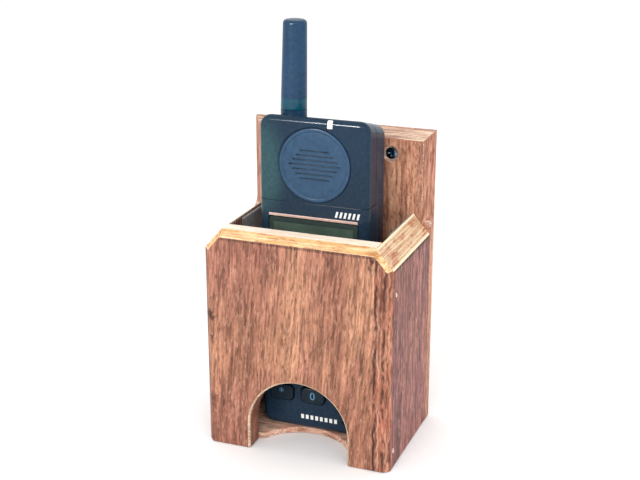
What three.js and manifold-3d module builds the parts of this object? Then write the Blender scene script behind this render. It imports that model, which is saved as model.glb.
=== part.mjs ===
// A slim hand-held two-way radio telephone standing in the open wooden wall holder made for it.
// Millimetres. +Z is up and the holder's front faces -Y. The origin is the bottom centre of the holder.
import * as THREE from 'three';
import { mergeVertices } from 'three/addons/utils/BufferGeometryUtils.js';
import Module from 'manifold-3d';

const wasm = await Module();
wasm.setup();

// ---------------------------------------------------------------- driving dimensions
const GAP = 0.3; // clearance left between pieces that touch

// wooden holder
const HOLDER_WIDTH = 88;
const HOLDER_DEPTH = 62;
const POCKET_HEIGHT = 104;
const BACK_HEIGHT = 142;
const BOARD = 8; // side boards
const FRONT_BOARD = 10.2;
const BACK_BOARD = 6.4;
const FLOOR_BOARD = 2.9;
const SIDE_BEVEL_DROP = 9.4; // how far the side boards' top bevel falls, from inside to outside
const FRONT_CHAMFER = 3.2; // routed chamfer along the front board's top edge
const CORNER_CHAMFER = 2.4; // routed chamfer down the two front corners
const BACK_CHAMFER = 4.2; // routed chamfer round the back board's front edge
const ARCH_RADIUS = 23.6;
const ARCH_SPRING_HEIGHT = 12.2; // where the arch's round top starts
const ARCH_X = 0.6; // the arch and the floor's notch sit a little off centre
const NOTCH_RADIUS = 23.5; // half-round notch in the floor, centred on the front face
const LINER = 1.5; // felt on the side walls
const LINER_FRONT = -8;

// wall screws and brads
const SCREW_SPACING = 48.8;
const SCREW_HEIGHT = 130.6;
const SCREW_HEAD_RADIUS = 2.7;
const SCREW_HEAD_DEPTH = 1.3;
const SCREW_SHANK_RADIUS = 1.4;
const SCREW_SINK = 0.8; // how far the heads sit below the back board's front
const BRAD_RADIUS = 0.8;
const BRAD_LENGTH = 13;
const BRAD_SETBACK = 6.4; // from the front face
const BRAD_HEIGHTS = { lower: 8.8, upper: 83 };

// handset
const RADIO_WIDTH = 51.6;
const RADIO_FRONT = -10; // Y of the front face
const RADIO_BACK = 14; // Y of the rear face
const RADIO_BOTTOM = 3.2;
const RADIO_TOP = 146.4; // at the rear face
const TOP_RISE = 6.6; // how much higher the top is at the front face, as it slopes down backwards
const OUTLINE_CORNERS = [5, 5, 5, 5.8]; // bottom left, bottom right, top right, top left
const EDGE_ROUND = 3.4; // rounding of the front and rear edges
const WALL = 2;
const SPLIT = 0; // Y where the front cover ends
const BAY = 5.2; // Y of the rear cover's back, under the battery
const BATTERY_TOP = 110.4;
const BATTERY_BOTTOM = 7.2;
const BATTERY_WALL = 1.1;

// what the front cover carries
const EARPIECE = { x: 0.5, z: 131.2, radius: 16.6, seatRim: 3 };
// sound slots: a middle one and a number of shorter ones to each side
const SOUND_SLOTS = { perSide: 3, width: 0.5, pitch: 2.1, longest: 12, step: 1.7 };
const WINDOW = { halfWidth: 21, low: 84, high: 106.2, border: 3 };
const TRIM = { low: 106.7, high: 107.9 };
const RECESS = 1.4; // depth of the earpiece and window seats
const KEY = { width: 11.6, height: 7.6, proud: 0.9, travel: 0.8, clearance: 0.4, flange: 0.7 };
const KEY_PITCH = { x: 15.5, z: 12.5 };
const KEY_FIRST_ROW = 20.8;
const SIDE_KEY = { length: 10, depth: 3.2, y: -4.8, proud: 0.8, clearance: 0.4 };
const SIDE_KEY_HEIGHTS = { down: 80, up: 92.5 };
const INDICATOR = { x: 7.8, width: 2.5, depth: 1.6, drop: 4.7 };
const MIC = { x: 15.2, z: 9.6, hole: 0.8, body: 2.2 };
const CONNECTOR = { halfWidth: 7, front: -5.1, rear: -1.9, high: 12.5 };

// antenna
const ANTENNA = { x: -14.2, y: 3.6, baseRadius: 5.9, tipRadius: 5.3, top: 192.5, threadRadius: 2.6 };
const ANTENNA_LEAN = 1.2; // degrees towards +X, as a rubber stub takes a set
const TIP_ROUND = 1.7; // how far below its top the antenna starts to round over
const COLLAR = { seat: 147.6, top: 152.8 }; // the collar stands in a flat seat in the sloping top

// electronics, from front to back
const MEMBRANE = { front: -5.7, thickness: 0.7 };
const BOARD_FRONT = -4.4;
const BOARD_THICKNESS = 1.2;
const BOARD_HALF = 20.8; // clear of the side keys
const BOSS = { x: 21.8, low: 10, high: 105.5, radius: 2.4, hole: 1.2 };

// ---------------------------------------------------------------- worked out from them
const halfWidth = HOLDER_WIDTH / 2;
const front = -HOLDER_DEPTH / 2;
const back = HOLDER_DEPTH / 2;
const backBoardFront = back - BACK_BOARD;
const pocketHalf = halfWidth - BOARD;
const pocketFront = front + FRONT_BOARD;
const radioHalf = RADIO_WIDTH / 2;
const innerFront = RADIO_FRONT + WALL;
const FAR = 300; // past every piece, for cutting tools

// ---------------------------------------------------------------- solids
function solid(geometry) {
  const bare = geometry.clone();
  bare.deleteAttribute('normal');
  bare.deleteAttribute('uv');
  const merged = mergeVertices(bare);
  return new wasm.Manifold(new wasm.Mesh({
    numProp: 3,
    vertProperties: new Float32Array(merged.attributes.position.array),
    triVerts: new Uint32Array(merged.index.array),
  }));
}

function geometryOf(manifold) {
  const { vertProperties, triVerts } = manifold.getMesh();
  const geometry = new THREE.BufferGeometry();
  geometry.setAttribute('position', new THREE.BufferAttribute(new Float32Array(vertProperties), 3));
  geometry.setIndex(new THREE.BufferAttribute(new Uint32Array(triVerts), 1));
  geometry.computeVertexNormals();
  return geometry;
}

function cut(piece, ...tools) {
  return tools.reduce((rest, tool) => rest.subtract(tool), piece);
}

function join(...pieces) {
  return pieces.reduce((whole, piece) => whole.add(piece));
}

// a block between two corners
function block([x0, y0, z0], [x1, y1, z1]) {
  const geometry = new THREE.BoxGeometry(x1 - x0, y1 - y0, z1 - z0);
  geometry.translate((x0 + x1) / 2, (y0 + y1) / 2, (z0 + z1) / 2);
  return solid(geometry);
}

// a rod along X, Y or Z from one end to the other
function rod(axis, radius, from, to, [a, b], sides = 24) {
  const geometry = new THREE.CylinderGeometry(radius, radius, to - from, sides);
  if (axis === 'x') geometry.rotateZ(-Math.PI / 2).translate((from + to) / 2, a, b);
  if (axis === 'y') geometry.translate(a, (from + to) / 2, b);
  if (axis === 'z') geometry.rotateX(Math.PI / 2).translate(a, b, (from + to) / 2);
  return solid(geometry);
}

// an outline in X and Z, given thickness along Y; round is the rounding of its front and rear edges
function slab(shape, yFront, yRear, { round = 0, segments = 3 } = {}) {
  const geometry = new THREE.ExtrudeGeometry(shape, {
    depth: yRear - yFront - 2 * round,
    curveSegments: segments,
    bevelEnabled: round > 0,
    bevelThickness: round,
    bevelSize: round,
    bevelOffset: -round,
    bevelSegments: 4,
  });
  geometry.rotateX(Math.PI / 2).translate(0, yRear - round, 0);
  return solid(geometry);
}

// a rectangle with corner radii in the order bottom left, bottom right, top right, top left
function rounded(x0, z0, x1, z1, radii) {
  const [bl, br, tr, tl] = Array.isArray(radii) ? radii : [radii, radii, radii, radii];
  const shape = new THREE.Shape();
  shape.moveTo(x0 + bl, z0);
  shape.lineTo(x1 - br, z0);
  shape.absarc(x1 - br, z0 + br, br, -Math.PI / 2, 0);
  shape.lineTo(x1, z1 - tr);
  shape.absarc(x1 - tr, z1 - tr, tr, 0, Math.PI / 2);
  shape.lineTo(x0 + tl, z1);
  shape.absarc(x0 + tl, z1 - tl, tl, Math.PI / 2, Math.PI);
  shape.lineTo(x0, z0 + bl);
  shape.absarc(x0 + bl, z0 + bl, bl, Math.PI, 1.5 * Math.PI);
  return shape;
}

function polygon(points) {
  return new THREE.Shape(points.map(([x, y]) => new THREE.Vector2(x, y)));
}

// a turned piece about a vertical or a front-to-back axis; the profile is radius against height
function turned(profile, sides = 32) {
  return new THREE.LatheGeometry(profile.map(([r, h]) => new THREE.Vector2(r, h)), sides);
}

// ---------------------------------------------------------------- materials and naming
const WOOD_FRONT = { color: 0xa9714c, roughness: 0.55, metalness: 0 };
const WOOD_SIDE = { color: 0x9c6650, roughness: 0.55, metalness: 0 };
const FELT = { color: 0x3c3f3c, roughness: 0.95, metalness: 0 };
const STEEL = { color: 0xb9b7b0, roughness: 0.35, metalness: 1 };
const BLACK_STEEL = { color: 0x16181c, roughness: 0.35, metalness: 1 };
const CASE = { color: 0x1d2f36, roughness: 0.32, metalness: 0 };
const DISC = { color: 0x2d4758, roughness: 0.5, metalness: 0 };
const RUBBER = { color: 0x18262b, roughness: 0.6, metalness: 0 };
const LENS = { color: 0x16301f, roughness: 0.1, metalness: 0 };
const PALE = { color: 0xe9d8cf, roughness: 0.4, metalness: 0 };
const LIGHT = { color: 0xf4f4f0, roughness: 0.25, metalness: 0 };
const PCB = { color: 0x1f6b3a, roughness: 0.5, metalness: 0 };
const TIN = { color: 0xb8bcc0, roughness: 0.4, metalness: 0.9 };
const BRASS = { color: 0xc9a14a, roughness: 0.3, metalness: 1 };
const CELL = { color: 0x2f6fa8, roughness: 0.45, metalness: 0 };
const KEY_RUBBER = { color: 0x27343a, roughness: 0.55, metalness: 0 };

const holder = new THREE.Group();
const handset = new THREE.Group();

function add(group, name, piece, finish) {
  const geometry = piece instanceof THREE.BufferGeometry ? piece : geometryOf(piece);
  const mesh = new THREE.Mesh(geometry, new THREE.MeshStandardMaterial(finish));
  mesh.name = name;
  group.add(mesh);
}

// ---------------------------------------------------------------- holder: boards
const sides = { left: -1, right: 1 };

function bradHoles(sign) {
  const x = [sign * (halfWidth + 1), sign * (halfWidth - BRAD_LENGTH - GAP)].sort((a, b) => a - b);
  return Object.values(BRAD_HEIGHTS).map((z) =>
    rod('x', BRAD_RADIUS + GAP, x[0], x[1], [front + BRAD_SETBACK, z], 12));
}

// the waste of a chamfer along X: a triangle in Y and Z, off the edge between a front and a top face
function chamferWaste(y, z, size, x0, x1) {
  const geometry = new THREE.ExtrudeGeometry(
    polygon([[y - 1, z - size - 1], [y + size + 1, z + 1], [y - 1, z + 1]]),
    { depth: x1 - x0, bevelEnabled: false });
  geometry.applyMatrix4(new THREE.Matrix4().makeBasis(
    new THREE.Vector3(0, 1, 0), new THREE.Vector3(0, 0, 1), new THREE.Vector3(1, 0, 0)));
  return geometry.translate(x0, 0, 0);
}

function frontBoard() {
  const outline = polygon([
    [-pocketHalf + GAP, 0], [pocketHalf - GAP, 0],
    [pocketHalf - GAP, POCKET_HEIGHT], [-pocketHalf + GAP, POCKET_HEIGHT],
  ]);
  const arch = new THREE.Shape();
  arch.moveTo(ARCH_X - ARCH_RADIUS, -1);
  arch.lineTo(ARCH_X + ARCH_RADIUS, -1);
  arch.lineTo(ARCH_X + ARCH_RADIUS, ARCH_SPRING_HEIGHT);
  arch.absarc(ARCH_X, ARCH_SPRING_HEIGHT, ARCH_RADIUS, 0, Math.PI);
  arch.lineTo(ARCH_X - ARCH_RADIUS, -1);
  return cut(
    slab(outline, front, pocketFront),
    slab(arch, front - 1, pocketFront + 1, { segments: 12 }),
    solid(chamferWaste(front, POCKET_HEIGHT, FRONT_CHAMFER, -halfWidth, halfWidth)),
    ...bradHoles(-1), ...bradHoles(1));
}

// a side board: its top is bevelled outwards, and the router's chamfer runs on over its front end
function sideBoard(sign) {
  const bevelTop = POCKET_HEIGHT - SIDE_BEVEL_DROP;
  const section = polygon([
    [pocketHalf, 0], [halfWidth, 0], [halfWidth, bevelTop], [pocketHalf, POCKET_HEIGHT],
  ]);
  const board = slab(section, front, backBoardFront - GAP);
  const slope = Math.hypot(BOARD, SIDE_BEVEL_DROP);
  const runOn = FRONT_CHAMFER * BOARD / slope; // as deep on the front face as the front board's chamfer
  const topWaste = chamferWaste(front, 0, runOn, -slope, slope)
    .rotateY(Math.atan2(SIDE_BEVEL_DROP, BOARD))
    .translate((pocketHalf + halfWidth) / 2, 0, (bevelTop + POCKET_HEIGHT) / 2);
  const cornerWaste = new THREE.ExtrudeGeometry(polygon([
    [halfWidth - CORNER_CHAMFER - 1, front - 1], [halfWidth + 1, front - 1],
    [halfWidth + 1, front + CORNER_CHAMFER + 1],
  ]), { depth: FAR, bevelEnabled: false }).translate(0, 0, -1);
  const right = cut(board, solid(topWaste), solid(cornerWaste));
  const piece = sign > 0 ? right : right.mirror([1, 0, 0]);
  return cut(piece, ...bradHoles(sign));
}

function screwHole(x) {
  const mouth = SCREW_HEAD_RADIUS + SCREW_SINK + GAP;
  const profile = [
    [0, -1], [mouth + 1, -1], [mouth, 0],
    [SCREW_SHANK_RADIUS + GAP, SCREW_SINK + SCREW_HEAD_DEPTH + GAP],
    [SCREW_SHANK_RADIUS + GAP, BACK_BOARD + 1], [0, BACK_BOARD + 1],
  ];
  return solid(turned(profile, 24).translate(x, backBoardFront, SCREW_HEIGHT));
}

// the waste down one upright front edge of the back board, running out in a curve above the side board
function backEdgeWaste(sign) {
  const runOutTop = POCKET_HEIGHT - 1;
  const runOut = 6;
  const depth = BACK_CHAMFER / Math.SQRT2;
  const profile = new THREE.Shape();
  profile.moveTo(-depth, BACK_HEIGHT + 5);
  profile.lineTo(-depth, runOutTop);
  profile.quadraticCurveTo(-depth, runOutTop - runOut * 0.6, 1, runOutTop - runOut);
  profile.lineTo(8, runOutTop - runOut);
  profile.lineTo(8, BACK_HEIGHT + 5);
  const geometry = new THREE.ExtrudeGeometry(profile, { depth: 30, curveSegments: 5, bevelEnabled: false });
  geometry.rotateX(Math.PI / 2).translate(0, 15, 0);
  geometry.rotateZ(-Math.PI / 4).translate(halfWidth, backBoardFront, 0);
  const waste = solid(geometry);
  return sign > 0 ? waste : waste.mirror([1, 0, 0]);
}

function backBoard() {
  const outline = polygon([
    [-halfWidth, 0], [halfWidth, 0], [halfWidth, BACK_HEIGHT], [-halfWidth, BACK_HEIGHT],
  ]);
  return cut(
    slab(outline, backBoardFront, back),
    solid(chamferWaste(backBoardFront, BACK_HEIGHT, BACK_CHAMFER, -halfWidth - 1, halfWidth + 1)),
    backEdgeWaste(1), backEdgeWaste(-1),
    screwHole(-SCREW_SPACING / 2), screwHole(SCREW_SPACING / 2));
}

function floorBoard() {
  const board = block(
    [-pocketHalf + GAP, pocketFront + GAP, 0], [pocketHalf - GAP, backBoardFront - GAP, FLOOR_BOARD]);
  return cut(board, rod('z', NOTCH_RADIUS, -1, FLOOR_BOARD + 1, [ARCH_X, front], 72));
}

function wallScrew(x) {
  const tip = BACK_BOARD - GAP;
  const profile = [
    [0, SCREW_SINK], [SCREW_HEAD_RADIUS, SCREW_SINK], [SCREW_SHANK_RADIUS, SCREW_SINK + SCREW_HEAD_DEPTH],
    [SCREW_SHANK_RADIUS, tip], [0, tip],
  ];
  const body = solid(turned(profile, 24).translate(x, backBoardFront, SCREW_HEIGHT));
  const arm = 1.5;
  const half = 0.35;
  const bottom = backBoardFront + SCREW_SINK + 1;
  const cross = [
    block([x - arm, -FAR, SCREW_HEIGHT - half], [x + arm, bottom, SCREW_HEIGHT + half]),
    block([x - half, -FAR, SCREW_HEIGHT - arm], [x + half, bottom, SCREW_HEIGHT + arm]),
  ];
  return cut(body, ...cross);
}

add(holder, 'back_board', backBoard(), WOOD_FRONT);
add(holder, 'front_board', frontBoard(), WOOD_FRONT);
add(holder, 'floor_board', floorBoard(), WOOD_FRONT);
for (const [side, sign] of Object.entries(sides)) {
  add(holder, `${side}_side_board`, sideBoard(sign), WOOD_SIDE);
  const linerX = [sign * (pocketHalf - GAP), sign * (pocketHalf - GAP - LINER)].sort((a, b) => a - b);
  add(holder, `${side}_felt_liner`, block(
    [linerX[0], LINER_FRONT, FLOOR_BOARD + GAP],
    [linerX[1], backBoardFront - GAP, POCKET_HEIGHT - 1.2]), FELT);
  add(holder, `${side}_wall_screw`, wallScrew(sign * SCREW_SPACING / 2), BLACK_STEEL);
  for (const [level, z] of Object.entries(BRAD_HEIGHTS)) {
    const bradX = [sign * halfWidth, sign * (halfWidth - BRAD_LENGTH)].sort((a, b) => a - b);
    add(holder, `${side}_brad_${level}`,
      rod('x', BRAD_RADIUS, bradX[0], bradX[1], [front + BRAD_SETBACK, z], 10), STEEL);
  }
}

// ---------------------------------------------------------------- handset: covers
// the height of the handset's sloping top at a depth
function topAt(y) {
  return RADIO_TOP + TOP_RISE * (RADIO_BACK - y) / (RADIO_BACK - RADIO_FRONT);
}

// the handset's whole outer form, which both covers and the battery are cut from
function radioForm() {
  const outline = rounded(-radioHalf, RADIO_BOTTOM, radioHalf, RADIO_TOP, OUTLINE_CORNERS);
  const straight = slab(outline, RADIO_FRONT, RADIO_BACK, { round: EDGE_ROUND, segments: 4 });
  return straight.warp((vertex) => {
    if (vertex[2] > BATTERY_TOP) vertex[2] += topAt(vertex[1]) - RADIO_TOP;
  });
}

function hollow(yFront, yRear, low = RADIO_BOTTOM + WALL, high = RADIO_TOP - WALL) {
  return slab(rounded(-radioHalf + WALL, low, radioHalf - WALL, high, 3), yFront, yRear, { segments: 2 });
}

function between(yFront, yRear) {
  return block([-FAR, yFront, -FAR], [FAR, yRear, FAR]);
}

const keyNames = [
  ['key_call', 'key_clear', 'key_end'],
  ['key_1', 'key_2', 'key_3'],
  ['key_4', 'key_5', 'key_6'],
  ['key_7', 'key_8', 'key_9'],
  ['key_star', 'key_0', 'key_hash'],
];
const keys = keyNames.flatMap((row, index) => row.map((name, column) => ({
  name,
  x: (column - 1) * KEY_PITCH.x,
  z: KEY_FIRST_ROW + (keyNames.length - 1 - index) * KEY_PITCH.z,
})));

function keyOutline({ x, z }, grow) {
  const w = KEY.width / 2 + grow;
  const h = KEY.height / 2 + grow;
  return rounded(x - w, z - h, x + w, z + h, Math.min(2.6 + grow, h - 0.01));
}

const earpieceCentre = [EARPIECE.x, EARPIECE.z];
const bossPlaces = [-BOSS.x, BOSS.x].flatMap((x) => [[x, BOSS.low], [x, BOSS.high]]);

function windowSeat() {
  const { halfWidth: half, low, high, border } = WINDOW;
  const outer = rounded(-half - GAP, low - GAP, half + GAP, high + GAP, 1.6);
  const inner = rounded(-half + border, low + border, half - border, high - border, 0.8);
  return [
    slab(outer, RADIO_FRONT - 1, RADIO_FRONT + RECESS),
    slab(inner, RADIO_FRONT - 1, innerFront + 1),
  ];
}

function sideKeyHole(z) {
  const y = SIDE_KEY.depth / 2 + SIDE_KEY.clearance;
  const h = SIDE_KEY.length / 2 + SIDE_KEY.clearance;
  return block([-radioHalf - 1, SIDE_KEY.y - y, z - h], [-radioHalf + WALL + 1, SIDE_KEY.y + y, z + h]);
}

function indicatorForm(grow) {
  const half = INDICATOR.width / 2 + grow;
  return block([INDICATOR.x - half, RADIO_FRONT - 1, topAt(RADIO_FRONT) - INDICATOR.drop - grow],
    [INDICATOR.x + half, RADIO_FRONT + INDICATOR.depth + grow, FAR]);
}

// the flat seat for the antenna's collar and the hole for its thread
function antennaSeat() {
  return [
    rod('z', ANTENNA.baseRadius + GAP, COLLAR.seat, FAR, [ANTENNA.x, ANTENNA.y], 48),
    rod('z', ANTENNA.threadRadius + GAP, RADIO_TOP - WALL - 1, FAR, [ANTENNA.x, ANTENNA.y], 24),
  ];
}

function frontCover() {
  const bosses = bossPlaces.map(([x, z]) => rod('y', BOSS.radius, innerFront - 1, SPLIT - GAP, [x, z], 16));
  const bossHoles = bossPlaces.map(([x, z]) => rod('y', BOSS.hole, innerFront + 1, SPLIT + 1, [x, z], 12));
  const shell = cut(radioForm(), between(SPLIT, FAR), hollow(innerFront, SPLIT + 1));
  return cut(
    join(shell, ...bosses),
    ...bossHoles,
    rod('y', EARPIECE.radius + GAP, RADIO_FRONT - 1, RADIO_FRONT + RECESS, earpieceCentre, 48),
    rod('y', EARPIECE.radius - EARPIECE.seatRim, RADIO_FRONT - 1, innerFront + 1, earpieceCentre, 32),
    ...windowSeat(),
    ...antennaSeat(),
    block([-WINDOW.halfWidth - GAP, RADIO_FRONT - 1, TRIM.low - GAP],
      [WINDOW.halfWidth + GAP, RADIO_FRONT + 1, TRIM.high + GAP]),
    ...keys.map((key) => keyOutline(key, KEY.clearance))
      .map((outline) => slab(outline, RADIO_FRONT - 1, innerFront + 1, { segments: 2 })),
    ...Object.values(SIDE_KEY_HEIGHTS).map(sideKeyHole),
    indicatorForm(GAP),
    rod('y', MIC.hole, RADIO_FRONT - 1, innerFront + 1, [MIC.x, MIC.z], 12),
    block([-CONNECTOR.halfWidth - GAP, CONNECTOR.front - GAP, RADIO_BOTTOM - 1],
      [CONNECTOR.halfWidth + GAP, CONNECTOR.rear + GAP, RADIO_BOTTOM + WALL + 1]));
}

function rearCover() {
  const shell = cut(
    radioForm(),
    between(-FAR, SPLIT + GAP),
    block([-FAR, BAY, BATTERY_BOTTOM - GAP], [FAR, FAR, BATTERY_TOP + GAP]),
    hollow(-FAR / 2, BAY - WALL),
    hollow(-FAR / 2, RADIO_BACK - WALL, BATTERY_TOP + GAP + WALL));
  const screwHoles = bossPlaces.flatMap(([x, z]) => [
    rod('y', BOSS.hole, 0, BAY + 1, [x, z], 12),
    rod('y', 2.1, BAY - 1.3, BAY + 1, [x, z], 16),
  ]);
  return cut(
    shell,
    ...screwHoles,
    ...antennaSeat(),
    block([-6.3, 0, 96.7], [6.3, BAY + 1, 101.3]));
}

add(handset, 'front_cover', frontCover(), CASE);
add(handset, 'rear_cover', rearCover(), CASE);
bossPlaces.forEach(([x, z], index) => {
  const head = rod('y', 1.8, BAY - 1, BAY - 0.1, [x, z], 16);
  const shank = rod('y', 0.9, SPLIT - 4, BAY - 0.5, [x, z], 12);
  add(handset, `case_screw_${index + 1}`, join(head, shank), STEEL);
});

// ---------------------------------------------------------------- handset: what the covers carry
function earpieceCover() {
  const disc = rod('y', EARPIECE.radius, RADIO_FRONT + 0.35, RADIO_FRONT + RECESS - GAP, earpieceCentre, 48);
  const slots = [];
  for (let index = -SOUND_SLOTS.perSide; index <= SOUND_SLOTS.perSide; index += 1) {
    const z = EARPIECE.z + index * SOUND_SLOTS.pitch;
    const half = SOUND_SLOTS.longest - SOUND_SLOTS.step * Math.abs(index);
    const radius = SOUND_SLOTS.width / 2;
    const outline = rounded(EARPIECE.x - half, z - radius, EARPIECE.x + half, z + radius, radius - 0.01);
    slots.push(slab(outline, RADIO_FRONT - 1, RADIO_FRONT + RECESS + 1, { segments: 2 }));
  }
  return cut(disc, ...slots);
}

function keyPiece(key) {
  const capRear = innerFront + 0.6;
  const cap = slab(keyOutline(key, 0), RADIO_FRONT - KEY.proud, capRear, { round: 0.6, segments: 2 });
  const flange = slab(keyOutline(key, KEY.clearance + 0.4), innerFront + 0.35, innerFront + 0.35 + KEY.flange,
    { segments: 2 });
  return join(cap, flange);
}

function sideKey(z) {
  const y = SIDE_KEY.depth / 2;
  const h = SIDE_KEY.length / 2;
  const outer = -radioHalf - SIDE_KEY.proud;
  const inner = -radioHalf + WALL;
  const cap = block([outer, SIDE_KEY.y - y, z - h], [inner + 0.5, SIDE_KEY.y + y, z + h]);
  const spread = 0.6;
  const flange = block([inner + 0.35, SIDE_KEY.y - y - spread, z - h - spread],
    [inner + 1, SIDE_KEY.y + y, z + h + spread]);
  return join(cap, flange);
}

function indicatorLens() {
  return radioForm().intersect(indicatorForm(0)).subtract(between(SPLIT - GAP, FAR));
}

function antennaWhip() {
  const base = COLLAR.top + 1.5 * GAP;
  const profile = [[0, base], [ANTENNA.baseRadius - 0.2, base], [ANTENNA.baseRadius - 0.1, base + 2]];
  for (let step = 0; step <= 6; step += 1) {
    const angle = (step / 6) * Math.PI / 2;
    const radius = ANTENNA.tipRadius - TIP_ROUND * (1 - Math.cos(angle));
    profile.push([radius, ANTENNA.top - TIP_ROUND * (1.15 - Math.sin(angle))]);
  }
  profile.push([0, ANTENNA.top]);
  return turned(profile).rotateX(Math.PI / 2).translate(0, 0, -base)
    .rotateY(THREE.MathUtils.degToRad(ANTENNA_LEAN)).translate(ANTENNA.x, ANTENNA.y, base);
}

function antennaCollar() {
  const low = COLLAR.seat + GAP;
  const profile = [
    [0, low - 5], [ANTENNA.threadRadius, low - 5], [ANTENNA.threadRadius, low],
    [ANTENNA.baseRadius, low], [ANTENNA.baseRadius, COLLAR.top], [0, COLLAR.top],
  ];
  return turned(profile).rotateX(Math.PI / 2).translate(ANTENNA.x, ANTENNA.y, 0);
}

add(handset, 'earpiece_cover', earpieceCover(), DISC);
add(handset, 'display_window', slab(
  rounded(-WINDOW.halfWidth, WINDOW.low, WINDOW.halfWidth, WINDOW.high, 1.4),
  RADIO_FRONT + 0.1, RADIO_FRONT + RECESS - GAP), LENS);
add(handset, 'display_trim', block(
  [-WINDOW.halfWidth, RADIO_FRONT - 0.2, TRIM.low], [WINDOW.halfWidth, RADIO_FRONT + 0.7, TRIM.high]), PALE);
add(handset, 'indicator_lens', indicatorLens(), LIGHT);
add(handset, 'antenna_collar', antennaCollar(), RUBBER);
add(handset, 'antenna_whip', antennaWhip(), RUBBER);
for (const key of keys) {
  add(handset, key.name, keyPiece(key), KEY_RUBBER);
}
for (const [way, z] of Object.entries(SIDE_KEY_HEIGHTS)) {
  add(handset, `volume_key_${way}`, sideKey(z), KEY_RUBBER);
}

// ---------------------------------------------------------------- handset: electronics
const boardRear = BOARD_FRONT + BOARD_THICKNESS;

add(handset, 'keypad_membrane', slab(
  rounded(-BOARD_HALF, 15, BOARD_HALF, 77, 1), MEMBRANE.front, MEMBRANE.front + MEMBRANE.thickness), RUBBER);
add(handset, 'circuit_board', slab(polygon([
  [-BOARD_HALF, 14], [BOARD_HALF, 14], [BOARD_HALF, 102], [17.6, 102],
  [17.6, 143], [-17.6, 143], [-17.6, 102], [-BOARD_HALF, 102],
]), BOARD_FRONT, boardRear), PCB);
add(handset, 'shield_can', block([-18, boardRear + GAP, 30], [18, BAY - WALL - 0.6, 95]), TIN);
add(handset, 'display_module', block([-17, innerFront + GAP, 85.5], [17, BOARD_FRONT - GAP, 104.5]), TIN);
const frontPart = (radius, centre, edges) =>
  rod('y', radius, innerFront + GAP, BOARD_FRONT - GAP, centre, edges);
add(handset, 'earpiece_speaker', frontPart(11.5, earpieceCentre, 32), TIN);
add(handset, 'microphone', frontPart(MIC.body, [MIC.x, MIC.z], 16), BLACK_STEEL);
add(handset, 'bottom_connector', block([-CONNECTOR.halfWidth, CONNECTOR.front, RADIO_BOTTOM + GAP],
  [CONNECTOR.halfWidth, CONNECTOR.rear, CONNECTOR.high]), BRASS);
add(handset, 'battery_contacts', block([-6, boardRear + GAP, 97], [6, BAY, 101]), BRASS);

// ---------------------------------------------------------------- battery pack
const LID = 0.9;
const LATCH = { halfWidth: 5, low: 104.8, high: 108.4, travel: 2 };
const CELL_SIZE = { width: 17, thickness: 5.8, height: 45.5 };

function batteryShell() {
  const front = BAY + GAP;
  const hollowOut = slab(
    rounded(-radioHalf + BATTERY_WALL + 1, BATTERY_BOTTOM + BATTERY_WALL, radioHalf - BATTERY_WALL - 1,
      BATTERY_TOP - BATTERY_WALL, 2),
    front - 1, RADIO_BACK - BATTERY_WALL, { segments: 2 });
  const outer = cut(radioForm(), between(-FAR, front),
    block([-FAR, -FAR, -FAR], [FAR, FAR, BATTERY_BOTTOM]),
    block([-FAR, -FAR, BATTERY_TOP], [FAR, FAR, FAR]));
  const latchSlot = block([-LATCH.halfWidth - GAP, RADIO_BACK - 2, LATCH.low - LATCH.travel - GAP],
    [LATCH.halfWidth + GAP, FAR, LATCH.high + GAP]);
  return cut(outer, hollowOut, latchSlot);
}

function batteryLid() {
  const plate = slab(
    rounded(-radioHalf + BATTERY_WALL + 1 + GAP, BATTERY_BOTTOM + BATTERY_WALL + GAP,
      radioHalf - BATTERY_WALL - 1 - GAP, BATTERY_TOP - BATTERY_WALL - GAP, 1.7),
    BAY + GAP, BAY + GAP + LID, { segments: 2 });
  return cut(plate, block([-6.3, 0, 96.7], [6.3, 10, 101.3]));
}

function batteryLatch() {
  const low = [-LATCH.halfWidth, RADIO_BACK - 2.4, LATCH.low];
  const body = block(low, [LATCH.halfWidth, RADIO_BACK + 0.5, LATCH.high]);
  const grooves = [0, 1, 2].map((index) => {
    const z = LATCH.low + 0.7 + index * 0.95;
    return block([-FAR, RADIO_BACK + 0.15, z], [FAR, FAR, z + 0.4]);
  });
  return cut(body, ...grooves);
}

add(handset, 'battery_shell', batteryShell(), CASE);
add(handset, 'battery_lid', batteryLid(), CASE);
add(handset, 'battery_latch', batteryLatch(), KEY_RUBBER);
const cellFront = BAY + GAP + LID + GAP;
[-1, 1].forEach((column) => [0, 1].forEach((row) => {
  const x = column * (CELL_SIZE.width / 2 + 1.5);
  const z = BATTERY_BOTTOM + BATTERY_WALL + 0.7 + row * (CELL_SIZE.height + 0.7);
  add(handset, `battery_cell_${column < 0 ? 'left' : 'right'}_${row ? 'upper' : 'lower'}`, slab(
    rounded(x - CELL_SIZE.width / 2, z, x + CELL_SIZE.width / 2, z + CELL_SIZE.height, 1.2),
    cellFront, cellFront + CELL_SIZE.thickness, { segments: 1 }), CELL);
}));

export default new THREE.Group().add(holder, handset);
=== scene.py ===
"""A two-way radio standing in its wooden wall holder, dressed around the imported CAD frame.

Metres in the frame, millimetres in this script's own dimensions. +Z is up and the holder's front faces -Y.
"""

import math

import bmesh
import bpy
from mathutils import Matrix, Vector


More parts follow.
